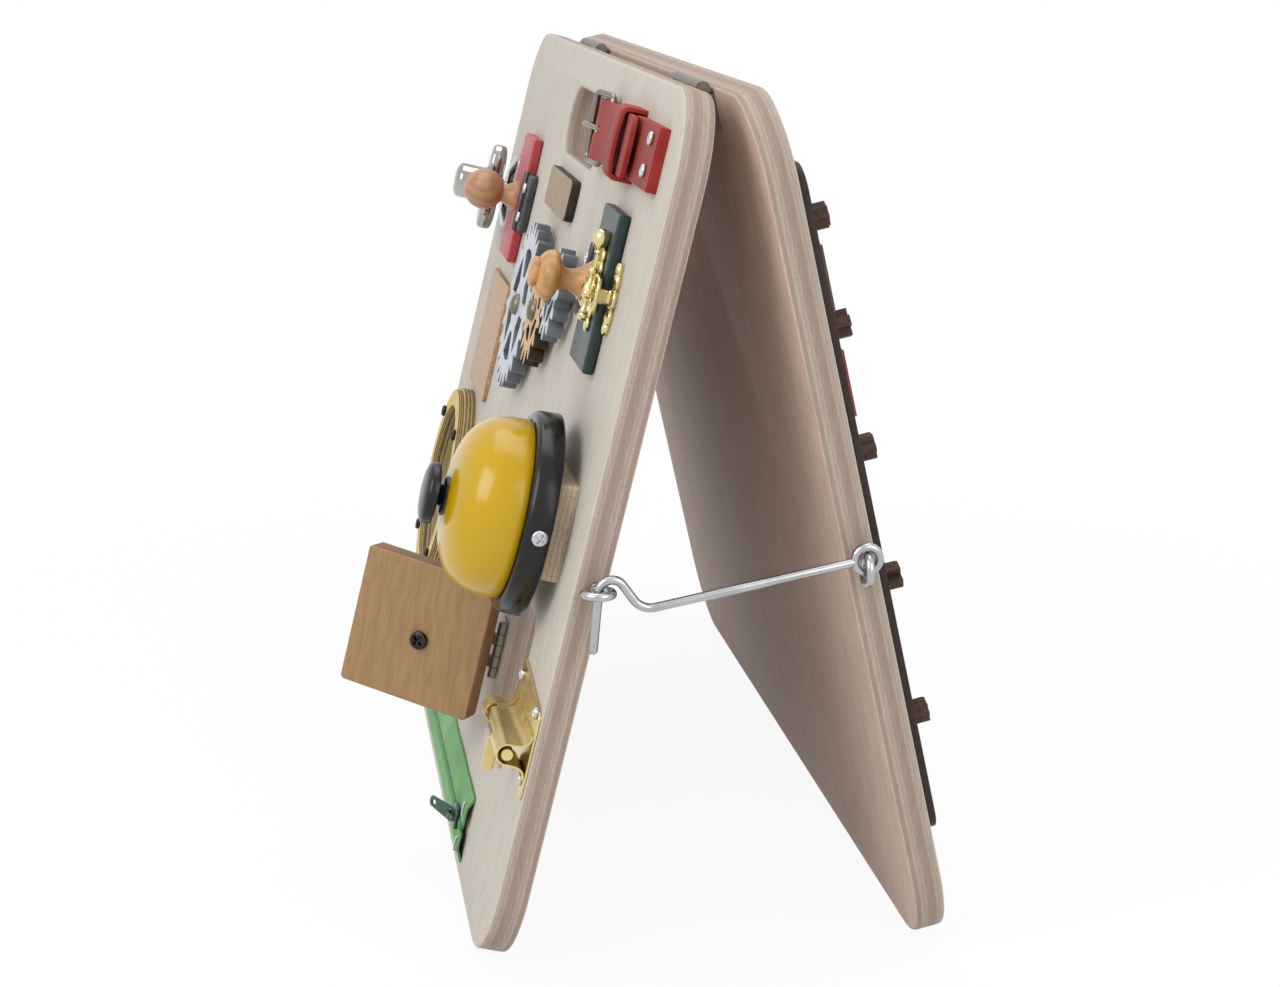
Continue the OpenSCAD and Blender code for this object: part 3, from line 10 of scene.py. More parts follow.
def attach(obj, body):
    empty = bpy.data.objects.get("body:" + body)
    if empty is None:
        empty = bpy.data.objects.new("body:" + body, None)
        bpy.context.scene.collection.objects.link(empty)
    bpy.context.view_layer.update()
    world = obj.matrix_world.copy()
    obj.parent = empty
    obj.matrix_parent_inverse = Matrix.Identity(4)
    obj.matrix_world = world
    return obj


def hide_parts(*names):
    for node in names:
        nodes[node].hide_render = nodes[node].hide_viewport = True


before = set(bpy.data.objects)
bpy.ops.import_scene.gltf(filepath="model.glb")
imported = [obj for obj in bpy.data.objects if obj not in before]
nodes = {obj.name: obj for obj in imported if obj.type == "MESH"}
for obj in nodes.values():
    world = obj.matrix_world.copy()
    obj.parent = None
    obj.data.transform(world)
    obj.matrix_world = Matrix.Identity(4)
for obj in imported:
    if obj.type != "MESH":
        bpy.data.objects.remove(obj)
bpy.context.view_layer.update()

# Camera, lamps and floor.
# The camera stands a little in front of the near end of the boards and looks along them; its place and
# lens were solved from the boards' edges and the round parts. SHIFT is where the middle of the crest
# lies in the shared frame, in millimetres.
SHIFT = np.array([-7.9, 23.59717])
SENSOR, PICTURE_WIDE, FOCAL_PIXELS = 36.0, 1280.0, 2404.0
RIGHT = np.array([0.15180598, 0.98834971, 0.01094514])
DOWN = np.array([0.23059921, -0.02464675, -0.97273663])
AHEAD = np.array([-0.9611342, 0.15019118, -0.23165419])
CAMERA_AT = ((1116.47 + SHIFT[0]) / 1000, (-170.0 + SHIFT[1]) / 1000, 0.403616)


def standing(place, across, up, back):
    """The matrix whose columns are an object's three directions and its place."""
    return Matrix(np.column_stack([across, up, back, place]).tolist() + [[0, 0, 0, 1]])


scene = bpy.context.scene
scene.view_settings.view_transform = "Standard"
camera_data = bpy.data.cameras.new("camera")
camera_data.sensor_width = SENSOR
camera_data.lens = FOCAL_PIXELS * SENSOR / PICTURE_WIDE
camera_data.clip_end = 50.0
camera = bpy.data.objects.new("camera", camera_data)
scene.collection.objects.link(camera)
scene.camera = camera
camera.matrix_world = standing(CAMERA_AT, RIGHT, -DOWN, -AHEAD)


def node(tree, kind, values=(), links=(), **settings):
    """A new node in the tree with its settings, its input values and its links."""
    made = tree.nodes.new("ShaderNode" + kind)
    for key, value in settings.items():
        setattr(made, key, value)
    for key, value in values:
        made.inputs[key].default_value = value
    for key, value in links:
        tree.links.new(value, made.inputs[key])
    return made


def seen_by(tree, *rays):
    """1 for the named kinds of ray and 0 for others: the largest of their Light Path outputs."""
    path = node(tree, "LightPath")
    seen = path.outputs[rays[0]]
    for ray in rays[1:]:
        both = [(0, seen), (1, path.outputs[ray])]
        seen = node(tree, "Math", links=both, operation="MAXIMUM").outputs[0]
    return seen


world = bpy.data.worlds.new("studio")
scene.world = world
world.use_nodes = True
tree = world.node_tree
tree.nodes.clear()
soft = node(tree, "Background", [("Color", (0.92, 0.96, 1.0, 1)), ("Strength", 0.55)])
white = node(tree, "Background", [("Color", (1, 1, 1, 1)), ("Strength", 1.0)])
seen = seen_by(tree, "Is Camera Ray", "Is Glossy Ray", "Is Transmission Ray")
shown = node(tree, "MixShader", links=[(0, seen), (1, soft.outputs[0]), (2, white.outputs[0])])
node(tree, "OutputWorld", links=[("Surface", shown.outputs[0])])


def lamp(name, place, aim, size, watts):
    """A square area lamp at place that faces aim: z runs from aim to place, x = up cross z and
    y = z cross x."""
    data = bpy.data.lights.new(name, "AREA")
    data.size, data.energy = size, watts
    back = np.array(place, float) - np.array(aim, float)
    back /= np.linalg.norm(back)
    across = np.cross((0, 0, 1), back)
    across /= np.linalg.norm(across)
    lamp_object = bpy.data.objects.new(name, data)
    scene.collection.objects.link(lamp_object)
    lamp_object.matrix_world = standing(place, across, np.cross(back, across), back)


lamp("key", place=(0.9, -1.3, 1.3), aim=(0, -0.05, 0.15), size=1.1, watts=17)
lamp("fill", place=(1.5, 0.9, 1.0), aim=(0.1, 0, 0.15), size=1.2, watts=9)
lamp("top", place=(-0.3, 0.1, 1.7), aim=(0, 0, 0.1), size=1.2, watts=9)

floor_mesh = bpy.data.meshes.new("floor")
FLOOR_HALF = 6
corners = [(FLOOR_HALF * x, FLOOR_HALF * y, 0) for x, y in ((-1, -1), (1, -1), (1, 1), (-1, 1))]
floor_mesh.from_pydata(corners, [], [(0, 1, 2, 3)])
floor = bpy.data.objects.new("floor", floor_mesh)
scene.collection.objects.link(floor)
pale_floor = bpy.data.materials.new("pale floor")
pale_floor.use_nodes = True
tree = pale_floor.node_tree
tree.nodes.clear()
paint = node(tree, "BsdfDiffuse", [("Color", (0.9, 0.9, 0.9, 1))])
glow = node(tree, "Emission", [("Color", (1, 1, 1, 1))])
here = node(tree, "TexCoord").outputs["Object"]
from_middle = node(tree, "VectorMath", links=[(0, here)], operation="LENGTH")
reach = [("From Min", 0.25), ("From Max", 0.8), ("To Min", 0.92), ("To Max", 1.0)]
fade = node(tree, "MapRange", reach, [("Value", from_middle.outputs["Value"])])
seen = seen_by(tree, "Is Camera Ray", "Is Glossy Ray")
share = node(tree, "Math", links=[(0, seen), (1, fade.outputs[0])], operation="MULTIPLY")
shown = node(tree, "MixShader", links=[(0, share.outputs[0]), (1, paint.outputs[0]), (2, glow.outputs[0])])
node(tree, "OutputMaterial", links=[("Surface", shown.outputs[0])])
floor_mesh.materials.append(pale_floor)

# The two boards.
# 12.5 mm birch plywood, white-washed on the faces, edges rounded over by hand and left bare,
# with a carrying slot through both and a square window through the front one.
TILT = math.radians(13.25)
SIN, COS = math.sin(TILT), math.cos(TILT)
BOARD_LONG, BOARD_TALL, BOARD_ROUND, THICK = 500.0, 350.0, 35.0, 12.5
HALF_GAP, CREST = 3.81, BOARD_TALL * COS
SLOT_LONG, SLOT_TALL, SLOT_DOWN = 114.0, 32.0, 34.0
WINDOW, WINDOW_U, WINDOW_V = 65.0, 156.5, -254.5


def on_face(points, rear=False):
    """Board frame to metres: x along the board, y up the face from the top edge, z outwards.
    World y is plus or minus (half gap - y sin + (thickness + z) cos), and world z is
    crest + y cos + (thickness + z) sin."""
    p = np.asarray(points, float)
    out = HALF_GAP - p[..., 1] * SIN + (THICK + p[..., 2]) * COS
    y = out if rear else -out
    z = CREST + p[..., 1] * COS + (THICK + p[..., 2]) * SIN
    return np.stack([p[..., 0] + SHIFT[0], y + SHIFT[1], z], -1) / 1000.0


def on_rear(points):
    """The same for the rear board's outer face."""
    return on_face(points, True)


def facing(place):
    """Start (metres) and outward direction of the plane that a placing function maps to height zero."""
    start = place((0, 0, 0))
    return start, tuple(float(c) for c in (place((0, 0, 1)) - start) * 1000)


def rounded(wide, tall, r, cx=0.0, cy=0.0, steps=8):
    """Counter-clockwise rectangle outline with quarter-circle corners of radius r."""
    a = np.linspace(0, math.pi / 2, steps + 1)
    x, y = wide / 2 - r, tall / 2 - r
    parts = []
    for k, (cos_sign, sin_sign) in enumerate(((1, 1), (-1, 1), (-1, -1), (1, -1))):
        turn = a + k * math.pi / 2
        parts.append(np.stack([cos_sign * x + r * np.cos(turn), sin_sign * y + r * np.sin(turn)], 1))
    out = np.concatenate(parts) + (cx, cy)
    keep = np.linalg.norm(out - np.roll(out, 1, 0), axis=1) > 1e-4
    return out[keep]


def ring_of(r, steps):
    """Counter-clockwise circle outline about the middle."""
    a = np.linspace(0, 2 * math.pi, steps, endpoint=False)
    return r * np.stack([np.cos(a), np.sin(a)], 1)


def inset(loop, d):
    """The loop moved sideways by d to its left: each point goes along the mean of its two side normals,
    lengthened so that both sides move by d, but held back at sharp corners."""
    edge = np.roll(loop, -1, 0) - loop
    edge /= np.linalg.norm(edge, axis=1)[:, None]
    normal = np.stack([-edge[:, 1], edge[:, 0]], 1)
    mean = normal + np.roll(normal, 1, 0)
    mean /= np.maximum((mean * mean).sum(1), 0.6)[:, None] / 2
    return loop + mean * d


def as_piece(name, verts, faces, body, material, replaces=(), angle=38, flat=None):
    """Mesh from points in metres: doubles merged, faces turned outwards, smooth up to the angle;
    triangles that look along the direction flat are left plane."""
    mesh = bpy.data.meshes.new(name)
    mesh.from_pydata(np.asarray(verts).reshape(-1, 3).tolist(), [], faces)
    bm = bmesh.new()
    bm.from_mesh(mesh)
    bmesh.ops.remove_doubles(bm, verts=bm.verts, dist=2e-6)
    bmesh.ops.recalc_face_normals(bm, faces=bm.faces)
    for face in bm.faces:
        face.smooth = True
        if flat is not None and len(face.verts) == 3:
            along = abs(sum(a * b for a, b in zip(face.normal, flat)))
            face.smooth = not along > 0.9995
    bm.to_mesh(mesh)
    bm.free()
    mesh.set_sharp_from_angle(angle=math.radians(angle))
    piece = bpy.data.objects.new(name, mesh)
    scene.collection.objects.link(piece)
    mesh.materials.append(material)
    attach(piece, body)
    if replaces:
        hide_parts(*replaces)
    return piece


def slab_data(outer, holes, low, high, ease, steps=3):
    """A flat plate between two heights: each outline is carried up a profile that is a quarter
    round of radius ease at both arrises, and both faces are filled between the inset outlines."""
    a = np.linspace(0, math.pi / 2, steps + 1)
    side = [(ease * (1 - math.sin(t)), low + ease * (1 - math.cos(t))) for t in a]
    side += [(ease * (1 - math.cos(t)), high - ease * (1 - math.sin(t))) for t in a]
    verts, faces, tops, bottoms, base = [], [], [], [], 0
    for k, loop in enumerate([outer] + list(holes)):
        loop = np.asarray(loop, float)
        if k:
            loop = loop[::-1]
        n = len(loop)
        i = np.arange(n)
        for d, z in side:
            verts.append(np.column_stack([inset(loop, d), np.full(n, z)]))
        for r in range(len(side) - 1):
            q = base + r * n
            faces += np.stack([q + i, q + (i + 1) % n, q + n + (i + 1) % n, q + n + i], 1).tolist()
        bottoms.append(base + i)
        tops.append(base + (len(side) - 1) * n + i)
        base += len(side) * n
    v = np.concatenate(verts)
    for rows in (bottoms, tops):
        flat = np.concatenate(rows)
        for tri in tessellate_polygon([[tuple(v[j]) for j in row] for row in rows]):
            faces.append([int(flat[j]) for j in tri])
    return v, faces


def slab(name, outer, holes, low, high, ease, body, material, replaces, at=(0, 0), place=on_face):
    """A flat plate on a board's face, its outline centred on at = (along, down)."""
    v, faces = slab_data(outer, holes, low, high, ease)
    v = v + (at[0], -at[1], 0)
    return as_piece(name, place(v), faces, body, material, replaces, flat=facing(place)[1])


def srgb(r, g, b):
    """Display colour 0 to 255 to scene linear with alpha: c / 12.92 up to 0.04045, and
    ((c + 0.055) / 1.055) to the power 2.4 above it."""
    c = np.array([r, g, b], float) / 255
    c = np.where(c <= 0.04045, c / 12.92, ((c + 0.055) / 1.055) ** 2.4)
    return (*c.tolist(), 1.0)


def dimmed(tone, share):
    """The tone's red, green and blue times the share."""
    return (*(share * c for c in tone[:3]), 1.0)


class Shade:
    """A material that is built node by node; each method returns the new node's output."""

    def __init__(self, name, rough=0.5, metal=0.0, coat=0.0, spec=0.5):
        self.mat = bpy.data.materials.new(name)
        self.mat.use_nodes = True
        self.tree = self.mat.node_tree
        self.bsdf = self.tree.nodes["Principled BSDF"]
        self.bsdf.inputs["Roughness"].default_value = rough
        self.bsdf.inputs["Metallic"].default_value = metal
        self.bsdf.inputs["Coat Weight"].default_value = coat
        self.bsdf.inputs["Coat Roughness"].default_value = 0.12
        self.bsdf.inputs["Specular IOR Level"].default_value = spec

    def add(self, kind, out=0, values=(), links=(), **settings):
        """Any node, by its kind."""
        return node(self.tree, kind, values, links, **settings).outputs[out]

    def fill(self, made, inputs):
        """Each input takes a plain value or a link."""
        for key, value in inputs:
            if isinstance(value, (int, float, tuple)):
                made.inputs[key].default_value = value
            else:
                self.tree.links.new(value, made.inputs[key])

    def place(self, scale=(1, 1, 1), turn=(0, 0, 0)):
        """Object coordinates in metres, turned and then scaled."""
        here = self.add("TexCoord", "Object")
        return self.add("Mapping", 0, [("Rotation", turn), ("Scale", scale)], [("Vector", here)])

    def noise(self, vector, scale, detail=4.0, rough=0.55, distort=0.0):
        """Cloudy noise from 0 to 1."""
        values = [("Scale", scale), ("Detail", detail), ("Roughness", rough), ("Distortion", distort)]
        return self.add("TexNoise", "Fac", values, [("Vector", vector)])

    def math(self, operation, a, b=0.0):
        """The operation on a and b, or on a alone."""
        made = node(self.tree, "Math", operation=operation)
        self.fill(made, ((0, a), (1, b)))
        return made.outputs[0]

    def ramp(self, factor, stops, kind="LINEAR"):
        """The colour at the factor's place between (place, colour) stops."""
        made = node(self.tree, "ValToRGB", links=[(0, factor)])
        made.color_ramp.interpolation = kind
        points = made.color_ramp.elements
        while len(points) < len(stops):
            points.new(0.5)
        for point, (position, colour) in zip(points, stops):
            point.position = position
            point.color = colour if len(colour) == 4 else (*colour, 1)
        return made.outputs[0]

    def mix(self, factor, a, b, blend="MIX"):
        """Colour a turned into b, or blended with it, by the factor."""
        made = node(self.tree, "Mix", data_type="RGBA", blend_type=blend)
        self.fill(made, ((0, factor), (6, a), (7, b)))
        return made.outputs[2]

    def marks(self, share, tone, pattern, stops):
        """The tone multiplied by the pattern's ramp, as far as the share."""
        return self.mix(share, tone, self.ramp(pattern, stops), "MULTIPLY")

    def finish(self, colour, rough=None, bump=None, strength=0.2, distance=0.001):
        """Links the colour, the roughness and the bumps to the surface, and returns the material."""
        self.fill(self.bsdf, [("Base Color", colour)])
        if rough is not None:
            self.tree.links.new(rough, self.bsdf.inputs["Roughness"])
        if bump is not None:
            values = [("Strength", strength), ("Distance", distance)]
            raised = self.add("Bump", 0, values, [("Height", bump)])
            self.tree.links.new(raised, self.bsdf.inputs["Normal"])
        return self.mat


def height_in(s, place, low=0.0):
    """Height above the placing function's plane in millimetres, less low, from Object coordinates."""
    here = s.add("TexCoord", "Object")
    start, normal = facing(place)
    along = s.add("VectorMath", "Value", [(1, normal)], [(0, here)], operation="DOT_PRODUCT")
    above = s.math("SUBTRACT", along, float(np.dot(start, normal)))
    return s.math("SUBTRACT", s.math("MULTIPLY", above, 1000.0), low)


def facing_share(s, place):
    """Cosine between the surface and the plane's outward direction."""
    normal = s.add("NewGeometry", "True Normal")
    return s.add("VectorMath", "Value", [(1, facing(place)[1])], [(0, normal)], operation="DOT_PRODUCT")


def plywood(name, place, low, thick, plies, face, edges, glue, grain=0.10, inner=None):
    """Plywood cut across: the height through the sheet picks the ply, each with its own tone and
    streaks along the board, with thin dark glue lines; the two faces show long fine grain."""
    s = Shade(name, rough=0.62, spec=0.35)
    ply = s.math("ADD", s.math("MULTIPLY", height_in(s, place, low), (plies - 1) / thick), 0.5)
    wobble = s.noise(s.place((6, 6, 6)), 2.0, 2)
    ply = s.math("ADD", ply, s.math("MULTIPLY", s.math("SUBTRACT", wobble, 0.5), 0.22))
    pick = s.math("FRACT", s.math("MULTIPLY", s.math("FLOOR", ply), 0.37))
    layer = s.ramp(pick, [(k / (len(edges) - 1), tone) for k, tone in enumerate(edges)], "CONSTANT")
    streak = s.noise(s.place((70, 260, 14)), 3.0, 5, 0.6)
    layer = s.marks(0.22, layer, streak, [(0.3, (0.3, 0.24, 0.2)), (0.7, (1, 1, 1))])
    speck = s.math("GREATER_THAN", s.noise(s.place(), 900.0, 2), 0.58)
    layer = s.mix(s.math("MULTIPLY", speck, 0.34), layer, (0.32, 0.22, 0.17, 1))
    from_glue = s.math("ABSOLUTE", s.math("SUBTRACT", s.math("FRACT", ply), 0.5))
    wall = s.mix(s.math("LESS_THAN", from_glue, 0.455), glue, layer)
    long_grain = s.noise(s.place((90, 60, 5)), 3.0, 6, 0.6, 0.25)
    fine = s.noise(s.place((800, 500, 18)), 1.6, 3, 0.6)
    tint = s.ramp(long_grain, [(0.25, dimmed(face, 0.86)), (0.62, face)])
    tint = s.marks(grain, tint, fine, [(0.3, (0.35, 0.27, 0.2)), (0.6, (1, 1, 1))])
    upright = facing_share(s, place)
    if inner:
        bare = s.ramp(long_grain, [(0.25, dimmed(inner, 0.8)), (0.62, inner)])
        bare = s.marks(grain * 2, bare, fine, [(0.3, (0.3, 0.22, 0.16)), (0.6, (1, 1, 1))])
        tint = s.mix(s.math("LESS_THAN", upright, -0.5), tint, bare)
    colour = s.mix(s.math("LESS_THAN", s.math("ABSOLUTE", upright), 0.55), tint, wall)
    bump = s.math("ADD", s.math("MULTIPLY", long_grain, 0.4), s.math("MULTIPLY", fine, 0.35))
    return s.finish(colour, bump=bump, strength=0.12, distance=0.0006)


ply_tones = [
    srgb(174, 159, 145),
    srgb(163, 143, 130),
    srgb(180, 165, 150),
    srgb(158, 138, 127),
    srgb(170, 151, 138),
]
glue_tone, bare_ply = srgb(146, 120, 108), srgb(204, 180, 165)
front_ply, rear_ply = (
    plywood(name, place, -THICK, THICK, 9, face, ply_tones, glue_tone, inner=bare_ply)
    for name, place, face in (
        ("white-washed birch plywood", on_face, srgb(200, 191, 179)),
        ("rear birch plywood", on_rear, srgb(204, 190, 176)),
    )
)
slot_hole = rounded(SLOT_LONG, SLOT_TALL, SLOT_TALL / 2 - 0.01, 0, -SLOT_DOWN, 12)
window_hole = rounded(WINDOW, WINDOW, 7, WINDOW_U, WINDOW_V)
outline = rounded(BOARD_LONG, BOARD_TALL, BOARD_ROUND, 0, -BOARD_TALL / 2, 16)
for name, holes, body, board_ply, place in (
    ("front_board", [slot_hole, window_hole], "front", front_ply, on_face),
    ("rear_board", [slot_hole], "rear", rear_ply, on_rear),
):
    slab(f"{name}_eased", outline, holes, -THICK, 0, 1.6, body, board_ply, [name], place=place)

# Thin plate, painted strips and small blocks on the rear board.
# 3.3 mm laser-cut plywood glued on, its edges burnt nearly black and its upper edge notched round the
# slot's ends; the blocks are the same sheet, doubled.
SHEET_LONG, SHEET_TALL, SHEET_ROUND, SHEET_THICK, SHEET_V = 494.0, 272.0, 10.0, 3.3, -164.0
NOTCH_R, NOTCH_START = 24.0, -0.2527


def burnt(name, low, thick, face, place=on_face, char=srgb(38, 27, 22), pale=None):
    """Laser-cut plywood: pale faces with soft grain, walls burnt dark; where pale is given, the walls
    take it wherever a sine of three waves through the thickness is above 0.2."""
    s = Shade(name, rough=0.6, spec=0.35)
    smoke = s.noise(s.place((30, 160, 160)), 3.0, 4)
    wall = s.ramp(smoke, [(0.35, char), (0.75, dimmed(char, 2.2))])
    if pale:
        bend = s.add("TexNoise", "Fac", [("Scale", 1.0), ("Detail", 1.0)], [("Vector", s.place((3, 3, 3)))])
        wave = s.math("MULTIPLY", height_in(s, place, low), 6.283 * 3 / thick)
        line = s.math("SINE", s.math("ADD", wave, s.math("MULTIPLY", bend, 3.0)))
        wall = s.mix(s.math("GREATER_THAN", line, 0.2), wall, pale)
    grain = s.noise(s.place((10, 150, 150)), 4.0, 5, 0.6, 0.3)
    top = s.ramp(grain, [(0.28, dimmed(face, 0.84)), (0.6, face)])
    flat = s.math("ABSOLUTE", facing_share(s, place))
    colour = s.mix(s.math("GREATER_THAN", flat, 0.8), wall, top)
    return s.finish(colour, bump=grain, strength=0.12, distance=0.0005)


def repaint(material, *names):
    """CAD nodes that stay as they are take the material."""
    for name in names:
        nodes[name].data.materials.clear()
        nodes[name].data.materials.append(material)


rear_sheet = burnt("burnt rear sheet", 0, SHEET_THICK, srgb(205, 180, 146), on_rear)
sheet_outline = rounded(SHEET_LONG, SHEET_TALL, SHEET_ROUND, 0, SHEET_V)
t = np.linspace(NOTCH_START, math.pi / 2, 14)
slot_end = (SLOT_LONG - SLOT_TALL) / 2
half_notch = np.stack([slot_end + NOTCH_R * np.cos(t), -SLOT_DOWN - NOTCH_R * np.sin(t)], 1)
notch_path = np.concatenate([half_notch, half_notch[::-1] * (-1, 1)])
corner = (SHEET_LONG / 2 - SHEET_ROUND, SHEET_V + SHEET_TALL / 2)
first = int(np.argmin(np.linalg.norm(sheet_outline - corner, axis=1)))
notched = np.concatenate([sheet_outline[: first + 1], notch_path, sheet_outline[first + 1 :]])
slab(
    "rear_sheet", notched, [], 0, SHEET_THICK, 0.25, "rear", rear_sheet, ["rear_plate"],
    place=on_rear,
)

strips = Shade("painted strips", rough=0.5)
strip_height = strips.add("SeparateXYZ", "Z", links=[("Vector", strips.place())])
lower_one = strips.math("LESS_THAN", strip_height, 0.25)
strip_tone = strips.mix(lower_one, srgb(96, 62, 44), srgb(150, 40, 38))
strip_grain = strips.noise(strips.place((20, 200, 200)), 3.0)
strip_paint = strips.mix(0.2, strip_tone, strip_grain, "MULTIPLY")
repaint(strips.finish(strip_paint, bump=strip_grain), "rear_strips")
block_wood = burnt("burnt blocks", SHEET_THICK, 6, srgb(176, 132, 84), on_rear, char=srgb(52, 34, 24))
repaint(block_wood, "rear_blocks")


# Hook, screw eyes and fold hinges.
# 3.5 mm zinc-plated wire: two screw eyes in the board edges and a cabin hook with a gooseneck that
# drops into the front one; pressed steel butt hinges along the fold.
WIRE, EYE_X, EYE_R, RING_R = 1.75, 258.8, 5.25, 4.75
REAR_EYE_DOWN, REAR_EYE_HIGH, FRONT_EYE_DOWN, FRONT_EYE_HIGH = 182.0, 6.25, 188.0, 4.5
SHANK_START, SHANK_END, FLANGE, FLANGE_R, HOOK_PLAY = 232.0, 246.0, (248.6, 250.6), 2.3, 0.06


def grid_faces(n, m, closed=False):
    """Quads between n loops of m points each; where closed, the last loop is joined to the first."""
    i = np.arange(n if closed else n - 1)[:, None]
    j = np.arange(m)[None, :]
    a = i * m + j
    b = i * m + (j + 1) % m
    c = ((i + 1) % n) * m + (j + 1) % m
    d = ((i + 1) % n) * m + j
    return np.stack([a, b, c, d], -1).reshape(-1, 4).tolist()


def join(parts):
    """Several (points, faces) as one."""
    verts, faces, base = [], [], 0
    for v, f in parts:
        v = np.asarray(v, float).reshape(-1, 3)
        verts.append(v)
        faces += [[i + base for i in face] for face in f]
        base += len(v)
    return np.concatenate(verts), faces


def tube(path, radius, closed=False, steps=16, section=None):
    """A section carried along a path without twist; an open end is closed by rings that shrink as a
    quarter circle. section is a loop in units of the radius, a circle if none is given."""
    p = np.asarray(path, float)
    if section is None:
        section = ring_of(1.0, steps=steps)
    size = np.ones(len(p))
    if not closed:
        a = np.linspace(0, math.pi / 2, 5)[1:]
        t0, t1 = p[0] - p[1], p[-1] - p[-2]
        t0, t1 = t0 / np.linalg.norm(t0), t1 / np.linalg.norm(t1)
        start_cap = p[0] + t0 * radius * np.sin(a[::-1])[:, None] * 0.98
        end_cap = p[-1] + t1 * radius * np.sin(a)[:, None] * 0.98
        p = np.concatenate([start_cap, p, end_cap])
        size = np.concatenate([np.maximum(np.cos(a[::-1]), 1e-3), size, np.maximum(np.cos(a), 1e-3)])
    tangent = np.roll(p, -1, 0) - np.roll(p, 1, 0)
    if not closed:
        tangent[0], tangent[-1] = p[1] - p[0], p[-1] - p[-2]
    tangent /= np.linalg.norm(tangent, axis=1)[:, None]
    side = np.cross(tangent[0], (0.31, 0.87, 0.39))
    sides = []
    for t in tangent:
        side = side - t * side.dot(t)
        side /= np.linalg.norm(side)
        sides.append(side)
    x = np.array(sides)
    if closed:
        back = x[-1] - tangent[0] * x[-1].dot(tangent[0])
        back /= np.linalg.norm(back)
        twist = math.atan2(np.cross(back, x[0]).dot(tangent[0]), back.dot(x[0]))
        turn = twist * np.linspace(0, 1, len(p))[:, None]
        x = x * np.cos(turn) + np.cross(tangent, x) * np.sin(turn)
    y = np.cross(tangent, x)
    around = x[:, None] * section[None, :, :1] + y[:, None] * section[None, :, 1:]
    v = p[:, None] + around * (radius * size)[:, None, None]
    return v.reshape(-1, 3), grid_faces(len(p), len(section), closed)


def metal(name, tone, rough, dull, scale, bump, dirt):
    """Bare or plated metal: even tone with faint marks of dirt, and a roughness that a noise of that
    scale makes uneven by the amount dull."""
    s = Shade(name, metal=1.0)
    cloud = s.noise(s.place(), scale, 5, 0.6)
    uneven = s.math("ADD", s.math("MULTIPLY", cloud, dull), rough - dull / 2)
    marked = s.marks(dirt, tone, cloud, [(0.35, (0.45, 0.42, 0.4)), (0.65, (1, 1, 1))])
    return s.finish(marked, uneven, bump=cloud, strength=bump, distance=0.0004)


def inside(down, high, side):
    """World (y, z) of a point down the board at a height over its inner face: y is side times
    (half gap + down sin + high cos), and z is crest - down cos + high sin."""
    return np.array([side * (HALF_GAP + down * SIN + high * COS), CREST - down * COS + high * SIN])


def in_world(points):
    """Millimetres from the floor point under the middle of the crest to metres in the shared frame."""
    return (np.asarray(points, float) + (SHIFT[0], SHIFT[1], 0)) / 1000


def eye(centre, upright):
    """A closed wire ring with its straight shank along the board and a flange against the edge."""
    a = np.linspace(0, 2 * math.pi, 40, endpoint=False)
    ring = np.zeros((40, 3))
    ring[:, 0] = EYE_X + EYE_R * np.cos(a)
    ring[:, 1] = centre[0] + (0 if upright else EYE_R * np.sin(a))
    ring[:, 2] = centre[1] + (EYE_R * np.sin(a) if upright else 0)
    shank = [(x, *centre) for x in (SHANK_START, SHANK_END, EYE_X - EYE_R)]
    flange = [(x, *centre) for x in FLANGE]
    return join([tube(ring, WIRE, True), tube(shank, WIRE), tube(flange, FLANGE_R)])


def bent(points, radii, steps):
    """A polyline whose inner corners are rounded by arcs of the given radii, tangent to both sides."""
    p = [np.asarray(q, float) for q in points]
    out = [p[0]]
    for a, b, c, r in zip(p, p[1:], p[2:], radii):
        u, w = (a - b) / np.linalg.norm(a - b), (c - b) / np.linalg.norm(c - b)
        half = math.acos(np.clip(u.dot(w), -1, 1)) / 2
        mid = (u + w) / np.linalg.norm(u + w)
        centre = b + mid * r / math.sin(half)
        start, end = b + u * r / math.tan(half) - centre, b + w * r / math.tan(half) - centre
        full = math.pi - 2 * half
        t = np.linspace(0, 1, steps)[:, None]
        out += list(centre + (start * np.sin((1 - t) * full) + end * np.sin(t * full)) / math.sin(full))
    return np.array(out + [p[-1]])


wire_metal = metal(
    "zinc-plated wire", srgb(188, 190, 192), rough=0.24, dull=0.16, scale=90, bump=0.05, dirt=0.3
)
hinge_metal = metal(
    "pressed steel", srgb(126, 120, 108), rough=0.42, dull=0.2, scale=120, bump=0.08, dirt=0.4
)
rear_eye = inside(REAR_EYE_DOWN, REAR_EYE_HIGH, 1)
front_eye = inside(FRONT_EYE_DOWN, FRONT_EYE_HIGH, -1)
v, f = eye(front_eye, upright=False)
as_piece("front_screw_eye", in_world(v), f, "front", wire_metal, ["front_eye"])
v, f = eye(rear_eye, upright=True)
as_piece("rear_screw_eye", in_world(v), f, "rear", wire_metal, ["rear_eye"])

